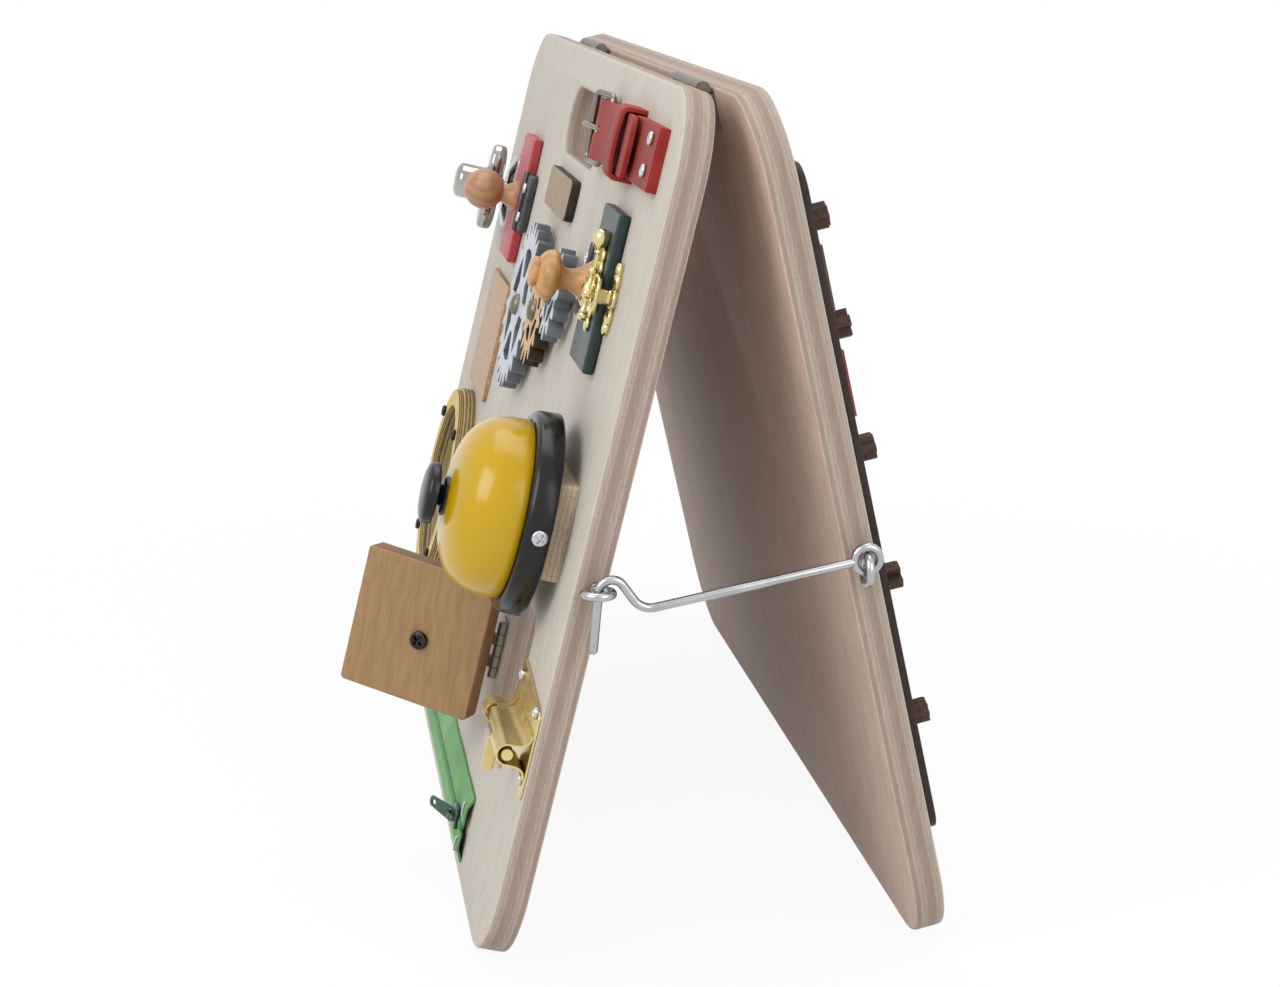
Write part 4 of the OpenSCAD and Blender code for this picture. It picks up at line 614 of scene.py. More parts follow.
ring_middle = np.array([rear_eye[0], rear_eye[1] + (EYE_R + WIRE) - RING_R + WIRE + HOOK_PLAY])
low_bend, neck_top, tail = front_eye + (16.5, -7), front_eye + (1.2, 14), front_eye + (-1.8, -22)
toward = (low_bend - ring_middle) / np.linalg.norm(low_bend - ring_middle)
a = np.linspace(0, 2 * math.pi, 40, endpoint=False)
ring = ring_middle + RING_R * np.stack([np.cos(a), np.sin(a)], 1)
ring = np.column_stack([np.full(len(ring), EYE_X), ring])
bar = bent([ring_middle + toward * RING_R, low_bend, neck_top, tail], [8, 5], 12)
bar = np.column_stack([np.full(len(bar), EYE_X), bar])
v, f = join([tube(ring, WIRE, True), tube(bar, WIRE)])
as_piece("cabin_hook", in_world(v), f, "hook", wire_metal, ["hook"])
repaint(hinge_metal, "fold_leaves_front", "fold_leaves_rear", "fold_pins")

# Screws.
# Cross-recessed pan heads: bright zinc for the fittings, one large black one in the window door. Each
# door hinge is given by the leaf's edge, its middle down the board and the side its block lies on.
HINGES = [(141.5, 87.0, -1), (-125.0, 85.0, 1)]
PIN_IN, PIN_R, BLOCK_HALF, BLOCK_TOP, BLOCK_SCREW = 2.0, 1.7, 5.0, 4.7, 7.5
zinc = metal("bright zinc", srgb(205, 208, 212), rough=0.22, dull=0.12, scale=200, bump=0.04, dirt=0.25)


def cross_head(d, t, dome=0.35, turn=0.3):
    """A low head with a cross-shaped recess: a slab pierced by a cross, its top raised as 1 - (r/R)^2,
    over a thin base disc that closes the recess."""
    a, b = d * 0.3, d * 0.065
    quarter = np.array([(a, b), (b, b), (b, a)])
    cross = np.concatenate([quarter, quarter[::-1] * (-1, 1), -quarter, quarter[::-1] * (1, -1)])
    cross = cross @ np.array([[math.cos(turn), math.sin(turn)], [-math.sin(turn), math.cos(turn)]])
    v, f = slab_data(ring_of(d / 2, steps=28), [cross], 0, t, t * 0.3, 2)
    r = np.hypot(v[:, 0], v[:, 1]) / (d / 2)
    v[:, 2] += np.where(v[:, 2] > t * 0.5, t * dome * (1 - r**2), 0)
    base = slab_data(ring_of(d * 0.42, steps=20), [], 0, t * 0.35, t * 0.05, 1)
    return join([(v, f), base])


screw_spots = [(211, 21.75, 4.4, 0.5), (211, 34.25, 4.4, 1.1), (64.32, 28, 2.2, 0.2)]
screw_spots += [(x, y, 1.0, 0.4 + x) for x in (194.9, 244.1) for y in (242.4, 269.6)]
for (edge, down, way), turn in zip(HINGES, (0.7, 0.2)):
    x = edge + way * (PIN_IN + PIN_R + BLOCK_HALF)
    screw_spots += [(x, down + d, BLOCK_TOP, turn + d) for d in (-BLOCK_SCREW, BLOCK_SCREW)]
heads = []
for x, y, z, turn in screw_spots:
    v, f = cross_head(5.4, 1.5, turn=turn)
    heads.append((v + (x, -y, z), f))
v, f = join(heads)
as_piece("zinc_screw_heads", on_face(v), f, "front", zinc, ["zinc_screws"])

# Turned pine knobs.
# Turned pine, clear-oiled: foot flare, thin neck, full head with a small button; the red door has a
# ball. Both profiles are (diameter, height) points.
LEAF_WIDE, LEAF_TALL, LEAF_LOW, LEAF_TOP = 42.0, 65.0, 0.3, 5.0
GREEN_U, GREEN_V = HINGES[0][0] + LEAF_WIDE / 2, HINGES[0][1]
RED_U, RED_V = HINGES[1][0] - LEAF_WIDE / 2, HINGES[1][1]
KNOB_SHARE, BALL_R, BALL_HIGH = 0.35, 10.5, 17.5
KNOB = [(0, 0), (19.6, 0), (20, 0.8), (17.6, 2.4), (13.4, 4.6), (10.2, 7.4), (8.8, 10.2), (9.4, 12.6)]
KNOB += [(13.6, 14.2), (18.6, 15.2), (20.8, 16.8), (20.6, 18.6), (18.4, 20.8), (14.6, 22.4)]
KNOB += [(12.2, 22.9), (12.6, 23.6), (11.8, 25.2), (7, 26), (0, 26.1)]
BALL_FOOT = [(0, 0), (15.8, 0), (16, 1.2), (13.4, 3.4), (10, 6.2), (8.6, 9.0), (8.8, 10.2)]


def smooth_line(points, count, closed=False):
    """A curve through the points: Catmull-Rom cubics, sampled evenly in the point index."""
    p = np.asarray(points, float)
    n = len(p)
    t = np.linspace(0, n if closed else n - 1, count, endpoint=not closed)
    i = np.minimum(t.astype(int), n - 1 if closed else n - 2)
    f = (t - i)[:, None]
    a, b, c, d = (p[k % n] if closed else p[np.clip(k, 0, n - 1)] for k in (i - 1, i, i + 1, i + 2))
    return 0.5 * (2 * b + (c - a) * f + (2 * a - 5 * b + 4 * c - d) * f**2 + (3 * b - a - 3 * c + d) * f**3)


def turned(profile, at=(0, 0, 0), steps=64):
    """A lathe form: the profile of (radius, height) points turned about the outward axis."""
    p = np.asarray(profile, float)
    a = np.linspace(0, 2 * math.pi, steps, endpoint=False)
    x = p[:, 0][:, None] * np.cos(a)
    y = p[:, 0][:, None] * np.sin(a)
    z = np.repeat(p[:, 1][:, None], steps, 1)
    v = np.stack([x + at[0], y + at[1], z + at[2]], -1)
    return v.reshape(-1, 3), grid_faces(len(p), steps)


def pine(name, tone, ring_turn=0.0):
    """Turned softwood: growth rings as a stretched wave across the board, warmed by noise."""
    s = Shade(name, rough=0.42, coat=0.15, spec=0.4)
    values = [("Scale", 70.0), ("Distortion", 5.0), ("Detail", 3.0), ("Detail Scale", 1.6)]
    rings = s.add("TexWave", "Fac", values, [("Vector", s.place(turn=(0.35, ring_turn, 0.2)))])
    cloud = s.noise(s.place((60, 60, 400)), 2.0, 5)
    wood = s.ramp(rings, [(0.1, dimmed(tone, 0.78)), (0.45, dimmed(tone, 0.93)), (0.8, tone)])
    wood = s.marks(0.2, wood, cloud, [(0.3, (0.6, 0.45, 0.3)), (0.7, (1, 1, 1))])
    return s.finish(wood, bump=rings, strength=0.05, distance=0.0004)


pine_mat = pine("turned pine", srgb(206, 154, 98))
ball_mat = pine("darker pine", srgb(190, 142, 104), 0.6)
knob_line = smooth_line([(d / 2, z) for d, z in KNOB], 76)
knob_line[:, 0] = np.maximum(knob_line[:, 0], 0)
v, f = turned(knob_line, (HINGES[0][0] + LEAF_WIDE * KNOB_SHARE, -GREEN_V, LEAF_TOP))
as_piece("green_door_knob", on_face(v), f, "green_door", pine_mat, ["green_knob"], angle=60)
t = np.linspace(-1.12, math.pi / 2, 26)
ball = np.stack([BALL_R * np.cos(t), BALL_HIGH + BALL_R * np.sin(t)], 1)
ball_line = np.concatenate([[(d / 2, z) for d, z in BALL_FOOT], ball])
ball_line[:, 0] = np.maximum(ball_line[:, 0], 0)
v, f = turned(ball_line, (RED_U, -RED_V, LEAF_TOP))
as_piece("red_door_ball_knob", on_face(v), f, "red_door", ball_mat, ["red_knob"], angle=60)

# Green and red doors with their hinges.
# 4.7 mm plywood leaves, painted, with the arrises taken off; dark steel capsule hinge blocks, each with
# three short knuckles over the leaf's edge.
LEAF = rounded(LEAF_WIDE, LEAF_TALL, 0.8)
BLOCK_GAP, KNUCKLE_STEP, KNUCKLE_HALF = 0.3, 10, 4.2


def painted(name, tone):
    """Brushed paint on wood: brush streaks down the leaf, under a faint cloud of darker and paler spots."""
    s = Shade(name, rough=0.45, coat=0.1)
    streak = s.noise(s.place((260, 260, 14)), 2.4, 5, 0.6)
    cloud = s.noise(s.place(), 30.0, 4)
    paint = s.marks(0.25, tone, streak, [(0.3, (0.5, 0.5, 0.5)), (0.7, (1.25, 1.25, 1.25))])
    paint = s.marks(0.3, paint, cloud, [(0.3, (0.7, 0.7, 0.72)), (0.7, (1.1, 1.1, 1.1))])
    return s.finish(paint, bump=streak, strength=0.15, distance=0.0005)


for colour, coat, ease, at in (
    ("green", painted("dark green paint", srgb(22, 50, 48)), 1.0, (GREEN_U, GREEN_V)),
    ("red", painted("red paint", srgb(176, 54, 62)), 0.8, (RED_U, RED_V)),
):
    door, slot = f"{colour}_door", f"{colour}_paint"
    replaced = [door, f"{colour}_hinge_leaf"]
    slab(f"{door}_leaf", LEAF, [], LEAF_LOW, LEAF_TOP, ease, door, coat, replaced, at=at)
dark_steel = metal("dark steel", srgb(92, 92, 94), rough=0.42, dull=0.2, scale=150, bump=0.06, dirt=0.4)
blocks = []
for edge, down, way in HINGES:
    v, f = slab_data(rounded(2 * BLOCK_HALF, 30, 4.5), [], 0, BLOCK_TOP, 1.2, 4)
    blocks.append((v + (edge + way * (PIN_IN + PIN_R + BLOCK_HALF + BLOCK_GAP), -down, 0), f))
for edge, down, way in HINGES:
    for k in (-1, 0, 1):
        middle = -down + k * KNUCKLE_STEP
        pin = [(edge + way * PIN_IN, middle + half, LEAF_TOP) for half in (-KNUCKLE_HALF, KNUCKLE_HALF)]
        blocks.append(tube(pin, PIN_R, steps=20))
v, f = join(blocks)
as_piece("capsule_hinges", on_face(v), f, "front", dark_steel, ["hinge_blocks"])

# Name block.
# A bare block of light wood with laser-burnt sides, glued on above the gears.
NAME_WIDE, NAME_TALL, NAME_THICK = 78.0, 19.0, 4.4
name_wood = burnt("burnt name block", 0, NAME_THICK, srgb(160, 140, 114))
slab(
    "name_block_bare", rounded(NAME_WIDE, NAME_TALL, 3.8), [], 0, NAME_THICK, 0.5, "front",
    name_wood, ["name_block"], at=(-4, 66.5),
)

# Gears.
# Two grey cast gears and one of laser-cut plywood between them, each on a dome-headed bolt. A way is
# the direction from one gear's middle to the next, in degrees.
MODULE, PRESS, PLAY = 3.0, math.radians(25), 0.5
TEETH_1, TEETH_2, TEETH_3 = 25, 15, 12
WAY_1, WAY_2 = 6.5, 19.7
GEAR_LOW, GEAR_TOP, BORE_R = 2.3, 9.3, 4.06


def gear_outline(teeth, phase, steps=5):
    """Involute teeth: at radius r a flank stands off the tooth's middle by the half thickness at the
    pitch circle plus inv(pressure) minus inv(acos(base/r)), from root to tip."""
    r = np.linspace(MODULE * (teeth / 2 - 1.1), MODULE * (teeth / 2 + 0.85), steps)
    roll = np.arccos(np.minimum(1, MODULE * teeth / 2 * math.cos(PRESS) / r))
    at_pitch = math.pi / 2 / teeth - PLAY / (2 * MODULE * teeth)
    half = at_pitch + (math.tan(PRESS) - PRESS) - (np.tan(roll) - roll)
    flanks = np.concatenate([-half, half[::-1]])
    middle = np.arange(teeth)[:, None] * 2 * math.pi / teeth + math.radians(phase)
    angle = (middle + flanks[None]).ravel()
    radius = np.tile(np.concatenate([r, r[::-1]]), teeth)
    return np.stack([radius * np.cos(angle), radius * np.sin(angle)], 1)


def windows(teeth, count, far=0.72, near=0.36, spoke=0.085):
    """Openings between the spokes: ring sectors from near to far shares of the pitch radius, each flank
    held half a spoke width off the spoke's middle line."""
    pitch, out = MODULE / 2 * teeth, []
    for k in range(count):
        edges = []
        for share, way in ((far, 1), (near, -1)):
            half = math.pi / count - math.asin(spoke / share)
            t = (k + 0.5) * 2 * math.pi / count + way * half * np.linspace(-1, 1, 9)
            edges.append(pitch * share * np.stack([np.cos(t), np.sin(t)], 1))
        out.append(np.concatenate(edges))
    return out


def onward(middle, teeth, way):
    """The next gear's middle: half the module times both counts of teeth away, in the way's direction."""
    turn = math.radians(way)
    return middle + MODULE * teeth / 2 * np.array([math.cos(turn), math.sin(turn)])


cast = Shade("grey cast gear", rough=0.4, spec=0.45)
cast_cloud = cast.noise(cast.place(), 45.0, 5, 0.6)
cast_face = cast.ramp(cast_cloud, [(0.3, srgb(174, 178, 184)), (0.7, srgb(196, 200, 206))])
# The gears' walls take a much darker grey than their faces: painted shade on the sides.
gear_side_painted_shade = cast.ramp(cast_cloud, [(0.3, srgb(80, 83, 87)), (0.7, srgb(118, 122, 127))])
cast_flat = cast.math("GREATER_THAN", cast.math("ABSOLUTE", facing_share(cast, on_face)), 0.6)
cast.finish(cast.mix(cast_flat, gear_side_painted_shade, cast_face), bump=cast_cloud, strength=0.08)
gear_ply = burnt("burnt gear wood", GEAR_LOW, 7, srgb(206, 172, 124), char=srgb(44, 30, 22))

gear_1 = np.array([-16.0, -124.0])
gear_2 = onward(gear_1, TEETH_1 + TEETH_2, WAY_1)
gear_3 = onward(gear_2, TEETH_2 + TEETH_3, WAY_2)
# Each phase sets a gap of the gear against a tooth of the one before it.
phase_2 = WAY_1 + 180 - 180 / TEETH_2 + WAY_1 * TEETH_1 / TEETH_2
phase_3 = WAY_2 + 180 - 180 / TEETH_3 - (phase_2 - WAY_2) * TEETH_2 / TEETH_3
windows_1, windows_3 = windows(TEETH_1, 6), windows(TEETH_3, 4)
windows_2 = windows(TEETH_2, 5, far=0.64, near=0.4, spoke=0.11)
for size, teeth, phase, openings, ease, slot, wheel, middle in (
    ("large", TEETH_1, 0, windows_1, 0.35, "gear_metal", cast.mat, gear_1),
    ("wood", TEETH_2, phase_2, windows_2, 0.2, "raw_ply", gear_ply, gear_2),
    ("small", TEETH_3, phase_3, windows_3, 0.35, "gear_metal", cast.mat, gear_3),
):
    body, outline = f"gear_{size}", gear_outline(teeth, phase)
    holes, at = openings + [ring_of(BORE_R, steps=24)], (middle[0], -middle[1])
    slab(f"{size}_gear", outline, holes, GEAR_LOW, GEAR_TOP, ease, body, wheel, [body], at=at)
bolt_line = [(0, 0), (7, 0), (7, 2), (4, 2), (4, 9.6), (5.2, 9.6), (5.0, 10.5), (4.2, 11.6)]
bolt_line += [(2.5, 12.3), (0, 12.5)]
v, f = join([turned(bolt_line, (*middle, 0), 32) for middle in (gear_1, gear_2, gear_3)])
as_piece("gear_bolts", on_face(v), f, "front", hinge_metal, ["gear_axles"])

# Gold latch.
# Cast, gold-plated door latch: a plate of round lobes with a tall finial, a hasp and a catch plate
# with a knob; all forms soft from casting and polishing. The plate's and the hasp's heights count from
# the door's face, and the catch's from the board.
LATCH_U, LATCH_V, CATCH_U = 172.0, 87.0, 189.9
KNUCKLE_U, KNUCKLE_OUT, KNUCKLE_HIGH = 176.5, 5.76, LEAF_TOP + 3.7
HASP_U = 188.6
FINIAL = [(0, -13.3), (1.6, -13.2), (2.6, -12), (2.9, -10.6), (2.2, -9.2), (1.8, -8.2), (2.9, -6.8)]
FINIAL += [(3.5, -5.2), (2.7, -3.6), (2.4, -2.4), (3.4, -1.0), (3.7, 0.4), (3.0, 2.2), (2.2, 3.4)]
FINIAL += [(2.8, 4.5), (2.3, 5.6), (1.5, 6.8), (1.3, 9), (1.2, 12), (1.3, 14.4), (2.0, 15.4), (1.6, 16.2)]
FINIAL += [(2.5, 17.3), (3.4, 19), (3.8, 21), (3.5, 23), (2.5, 24.4), (1.2, 25.1), (0, 25.2)]
PLATE_LOBES = [(-13.7, 3.5), (-8.2, 4.4), (0, 4.0), (8.2, 4.4), (13.7, 3.5)]
CATCH_LOBES = [(-11.6, 3.2), (-7.2, 4.4), (0, 4.8), (7.2, 4.4), (11.6, 3.2)]
CATCH_KNOB = [(0, 0), (4.2, 0.2), (4.2, 1.6), (3.5, 2.4), (3.3, 4.2), (3.5, 5.6), (3.5, 7.2), (2.4, 7.5)]
CATCH_KNOB += [(1.8, 8.2), (1.6, 9.4), (2.0, 10.2), (2.2, 11.2), (1.9, 12.6), (1.2, 13.2), (0, 13.4)]
gold = metal("gold plate", srgb(220, 206, 150), rough=0.14, dull=0.08, scale=70, bump=0.05, dirt=0.2)


def lobed(u, lobes, low, high, swell=0.9):
    """A cast plate of low turned lobes in a row down the board: each (place, radius) lobe has eased
    sides, and its top rises to the middle as 0.6 swell sqrt(1 - k^2), k being the share of the radius."""
    parts, ease = [], 0.5
    for y, r in lobes:
        profile = [(0, low), (r - ease * 0.4, low), (r, low + ease * 0.5), (r, high - ease)]
        profile += [(r - ease * 0.3, high - ease * 0.3)]
        profile += [(r * k, high + swell * math.sqrt(1 - k * k) * 0.6) for k in (0.85, 0.6, 0.3, 0)]
        parts.append(turned(profile, (u, -LATCH_V + y, 0), 28))
    return join(parts)


def mirrored(half):
    """A profile of (radius, distance) points for negative distances, carried on to the other side."""
    return half + [(r, -y) for r, y in half[::-1] if y]


def pillar(profile, u, high, down=LATCH_V, steps=28):
    """A turned column lying along the face: the profile is radius and distance along y."""
    p = np.asarray(profile, float)
    t = np.linspace(0, 2 * math.pi, steps, endpoint=False)
    x = u + p[:, 0][:, None] * np.cos(t)
    z = high + p[:, 0][:, None] * np.sin(t)
    y = np.repeat(-down + p[:, 1][:, None], steps, 1)
    return np.stack([x, y, z], -1).reshape(-1, 3), grid_faces(len(p), steps)


plate_parts = [lobed(LATCH_U, PLATE_LOBES, LEAF_TOP, LEAF_TOP + 1.4)]
finial_line = smooth_line(FINIAL, 84) * (1, 0.98)
plate_parts.append(pillar(finial_line, LATCH_U - 0.6, LEAF_TOP + 2.6, LATCH_V + 0.3))
for k in (-1, 1):
    y = -LATCH_V + k * KNUCKLE_OUT
    knuckle = mirrored([(0, -1.9), (1.5, -1.9), (1.8, -1.5)])
    plate_parts.append(pillar(knuckle, KNUCKLE_U, KNUCKLE_HIGH, -y, steps=24))
    plate_parts.append(tube([(173.6, y, LEAF_TOP + 2.4), (176.2, y, LEAF_TOP + 3.3)], 1.3))
pin_line = mirrored([(0, -8.6), (0.8, -8.5), (1.2, -8.1), (0.8, -7.8)])
plate_parts.append(pillar(pin_line, KNUCKLE_U, KNUCKLE_HIGH, steps=16))
v, f = join(plate_parts)
as_piece("gold_latch_plate", on_face(v), f, "green_door", gold, ["latch_plate"], angle=70)

hasp_hole = rounded(8.4, 6.4, 2.2, CATCH_U, -LATCH_V, 5)
hasp_edge = rounded(19.4, 15.4, 5, HASP_U, -LATCH_V, 8)
t = np.arctan2(hasp_edge[:, 1] + LATCH_V, hasp_edge[:, 0] - HASP_U)
hasp_edge = hasp_edge + np.stack([np.cos(t), np.sin(t)], 1) * (0.3 * np.cos(6 * t))[:, None]
hasp_parts = [slab_data(hasp_edge, [hasp_hole], LEAF_TOP + 2.9, LEAF_TOP + 4.5, 0.6, 3)]
barrel_line = mirrored([(0.86, -3.4), (1.6, -3.4), (1.85, -3.0), (1.6, -2.2), (1.55, 0)])
hasp_parts.append(pillar(barrel_line, KNUCKLE_U, KNUCKLE_HIGH))
rib_line = [(0, -9.4), (1.3, -9.2), (1.9, -8.3), (1.6, -7.3), (1.0, -6.4), (1.1, -3.8), (2.2, -2.7)]
hasp_parts.append(pillar(mirrored(rib_line + [(2.8, 0)]), 180.9, LEAF_TOP + 4.7, steps=20))
v, f = join(hasp_parts)
as_piece("gold_hasp", on_face(v), f, "hasp", gold, ["latch_hasp"], angle=50)

catch_plate = lobed(CATCH_U + 0.9, CATCH_LOBES, 0, 1.9, 1.6)
v, f = join([catch_plate, turned(CATCH_KNOB, (CATCH_U, -LATCH_V, 0), 32)])
as_piece("gold_catch", on_face(v), f, "front", gold, ["latch_catch"], angle=60)

# Tap.
# Chromed cast handle with four lobes on a polished hub over a round stepped base.
TAP = (-205.0, -88.0)
TAP_BASE = [(0, 0), (20, 0), (20, 1.6), (19.4, 2.5), (17.4, 3.1), (15.4, 3.9), (12.2, 4.7), (11.6, 5.0)]
TAP_BASE += [(4.5, 5.0), (4.5, 22.8), (0, 23.1)]
TAP_HUB = [(0, 15.5), (10.6, 15.6), (10.9, 16.4), (9.7, 17.2), (9.4, 18.4), (9.4, 29.4), (9.0, 30.6)]
TAP_HUB += [(7.8, 31.9), (5.6, 32.7), (2.4, 33.0), (0, 33.0)]
GRIP_LAYERS = [(8.0, 0.86), (8.4, 0.93), (9.2, 0.98), (12.0, 1.0), (14.6, 0.985), (15.6, 0.95)]
GRIP_LAYERS += [(16.0, 0.88)]
chrome = metal("polished chrome", srgb(178, 174, 170), rough=0.1, dull=0.05, scale=34, bump=0.02, dirt=0.45)
v, f = turned(TAP_BASE, (*TAP, 0), 72)
as_piece("tap_base_plate", on_face(v), f, "front", chrome, ["tap_base"], angle=50)


def lobed_loop(waist, tip, n, power, steps=96):
    """Radius waist + (tip - waist) |cos(n t / 2)|^power: n full lobes with waists between."""
    t = np.linspace(0, 2 * math.pi, steps, endpoint=False)
    r = waist + (tip - waist) * np.abs(np.cos(n * t / 2)) ** power
    return np.stack([r * np.cos(t), r * np.sin(t)], 1)


def capped(rows, n):
    """Faces of a closed skin of rows of n points each, with one face over each end."""
    caps = [list(range(n))[::-1], list(range((rows - 1) * n, rows * n))]
    return grid_faces(rows, n) + caps


grip_loop = lobed_loop(11.0, 23.4, 4, 1.6)
grip = [np.column_stack([grip_loop * k + TAP, np.full(len(grip_loop), z)]) for z, k in GRIP_LAYERS]
grip_skin = (np.concatenate(grip), capped(len(GRIP_LAYERS), len(grip_loop)))
v, f = join([grip_skin, turned(TAP_HUB, (*TAP, 0), 64)])
as_piece("tap_handle_cast", on_face(v), f, "tap", chrome, ["tap_handle"], angle=50)

# Picture board and porthole.
# Thin painted plywood left bare of its picture; two laser-cut rings with burnt edges over a mirror,
# held by four small bolts.
PORT_U, PORT_DOWN, PORT_TOP, BOLT_CIRCLE = -171, 249, 9, 47
salmon = burnt("salmon painted board", 0, 2.4, srgb(192, 162, 136), char=srgb(150, 118, 88))
slab(
    "picture_board_bare", rounded(75, 62, 2.4), [], 0, 2.4, 0.3, "front", salmon,
    ["picture_board"], at=(-152, 160),
)
lower_char, lower_line, upper_char, upper_line = (
    srgb(*tone) for tone in ((96, 78, 52), (176, 150, 100), (84, 68, 44), (186, 162, 96))
)
lower_wood = burnt("porthole lower ring", 0, 6, srgb(206, 178, 122), char=lower_char, pale=lower_line)
upper_wood = burnt("porthole upper ring", 6, 3, srgb(214, 188, 116), char=upper_char, pale=upper_line)
mirror = metal("mirror disc", srgb(206, 212, 216), rough=0.03, dull=0.02, scale=30, bump=0.01, dirt=0.05)
for name, node_name, outer, inner, low, high, ease, slot, finish in (
    ("porthole_ring", "port_ring", 53, 44, 0, 6, 0.35, "raw_ply", lower_wood),
    ("porthole_rim", "port_rim", 51.5, 42.5, 6, PORT_TOP, 0.5, "raw_ply", upper_wood),
    ("mirror_disc", "port_mirror", 43.9, None, 0, 2, 0.2, "mirror", mirror),
):
    edge = ring_of(outer, steps=120 if inner else 110)
    holes = [ring_of(inner, steps=110)] if inner else []
    slab(name, edge, holes, low, high, ease, "front", finish, [node_name], at=(PORT_U, PORT_DOWN))
black_screw = metal("black steel", srgb(58, 58, 60), rough=0.35, dull=0.15, scale=120, bump=0.05, dirt=0.3)
bolts = []
for k in range(4):
    t = math.pi / 4 + k * math.pi / 2
    v, f = cross_head(6, 2.0, 0.1, 0.5 + k)
    middle = (PORT_U + BOLT_CIRCLE * math.cos(t), -PORT_DOWN + BOLT_CIRCLE * math.sin(t), PORT_TOP)
    bolts.append((v + middle, f))
v, f = join(bolts)
as_piece("porthole_bolts", on_face(v), f, "front", black_screw, ["port_bolts"])

# Strap and buckle.
# Red coated webbing in two pieces: the near one is sewn double round the bar of a thin wire buckle and
# held by two screws, the far one runs over that bar and through two keeper loops to its free tip.
STRAP_Y, STRAP_WIDE, STRAP_THICK, BAR_U, BAR_HIGH = -28.8, 25, 2.1, 93.0, 3.7
LOW_LINE = [(99, 1.12), (110, 1.1), (150, 1.1), (190, 1.1), (221.9, 1.1)]
TOP_LINE = [(99, 3.34), (104, 3.3), (130, 3.34), (165, 3.3), (200, 3.34), (221.9, 3.28)]
FAR_LINE = [(60.1, 1.12), (66, 1.1), (74.5, 1.15), (79, 1.9), (83, 3.6), (87, 6.0), (91, 7.75), (95, 7.9)]
FAR_LINE += [(100, 6.9), (106, 5.9), (112, 5.56), (128, 5.6), (144, 5.56), (160, 6.3), (174, 7.1)]
FAR_LINE += [(182.9, 7.5)]
TIP_END, TIP_R, SPLIT_START, SPLIT_END, SPLIT_WIDE, SPLIT_OUT = 182.95, 6.0, 80.6, 99.4, 11.0, 7.0
WRAP_R, WRAP_THICK, WRAP_WIDE, WRAP_OUT = 2.3, 1.5, 10.6, 7.2
strap_red = Shade("red coated webbing", rough=0.6, coat=0.0, spec=0.25)
where = strap_red.place()
cells = strap_red.add("TexVoronoi", "Distance", [("Scale", 900.0)], [("Vector", where)])
soft = strap_red.noise(where, 55.0, 4)
outer_tone = strap_red.ramp(soft, [(0.3, srgb(126, 47, 44)), (0.7, srgb(148, 60, 56))])
# The strap's walls take a brighter, redder tone than its faces: partly the cut weave's own red and partly
# painted light on the lit edges.
cut_and_lit_edge_red = strap_red.ramp(soft, [(0.3, srgb(144, 38, 32)), (0.7, srgb(170, 52, 43))])
upright = strap_red.ramp(facing_share(strap_red, on_face), [(0.35, (0, 0, 0)), (0.75, (1, 1, 1))])
tone = strap_red.mix(upright, cut_and_lit_edge_red, outer_tone)
dust = strap_red.ramp(strap_red.noise(where, 16.0, 3), [(0.5, (0, 0, 0)), (0.75, (0.3, 0.3, 0.3))])
tone = strap_red.mix(dust, tone, srgb(164, 92, 86))
webbing = strap_red.finish(tone, bump=cells, strength=0.1, distance=0.0003)


def sideways(path):
    """Unit normals of a flat path: its tangent, found by differences, turned by a right angle."""
    tangent = np.gradient(path, axis=0)
    tangent /= np.linalg.norm(tangent, axis=1)[:, None]
    return np.stack([-tangent[:, 1], tangent[:, 0]], 1)


def ribbon(path, thick, width, edge):
    """A flat section with rounded edges carried along a path of (run, height) points, standing on the
    path's normal; width may be one number a station. Gives run, across and height of the points."""
    p = np.asarray(path, float)
    normal = sideways(p)
    wide = np.broadcast_to(np.asarray(width, float), (len(p),))
    section = rounded(wide.max(), thick, edge, steps=3)
    run = p[:, None, 0] + normal[:, None, 0] * section[None, :, 1]
    high = p[:, None, 1] + normal[:, None, 1] * section[None, :, 1]
    across = section[None, :, 0] * (wide / wide.max())[:, None]
    return run, across, high


def band(path, thick, width, middle=STRAP_Y):
    """A flexible ribbon that runs along the board, its middle line at the given height up the face."""
    run, across, high = ribbon(path, thick, width, 0.5)
    return np.stack([run, middle + across, high], -1).reshape(-1, 3), capped(*run.shape)


def keeper(x, wide, high, lean):
    """A ribbon bent to an upside-down U over the strap, both feet on the board: quarter-round corners,
    a crown that rises by 0.5 (1 - k^2), and along the board a lean that grows across the strap."""
    thick, corner, crown, foot = 2.0, 2.7, 0.5, 0.02
    half, top = 29.9 / 2 - thick / 2, high - thick / 2
    a = np.linspace(0, math.pi / 2, 9)
    path = [(-half, foot), (-half, top - corner)]
    path += [(-half + corner - corner * math.cos(t), top - corner + corner * math.sin(t)) for t in a[1:]]
    path += [(k * (half - corner), top + crown * (1 - k * k)) for k in (-0.75, -0.4, 0, 0.4, 0.75)]
    path += [(half - corner + corner * math.sin(t), top - corner + corner * math.cos(t)) for t in a]
    path = np.array(path + [(half, foot)])
    run, across, high = ribbon(path, thick, wide, 0.4)
    v = np.stack([x + across + lean * path[:, None, 0], STRAP_Y + run, high], -1)
    return v.reshape(-1, 3), capped(*run.shape)


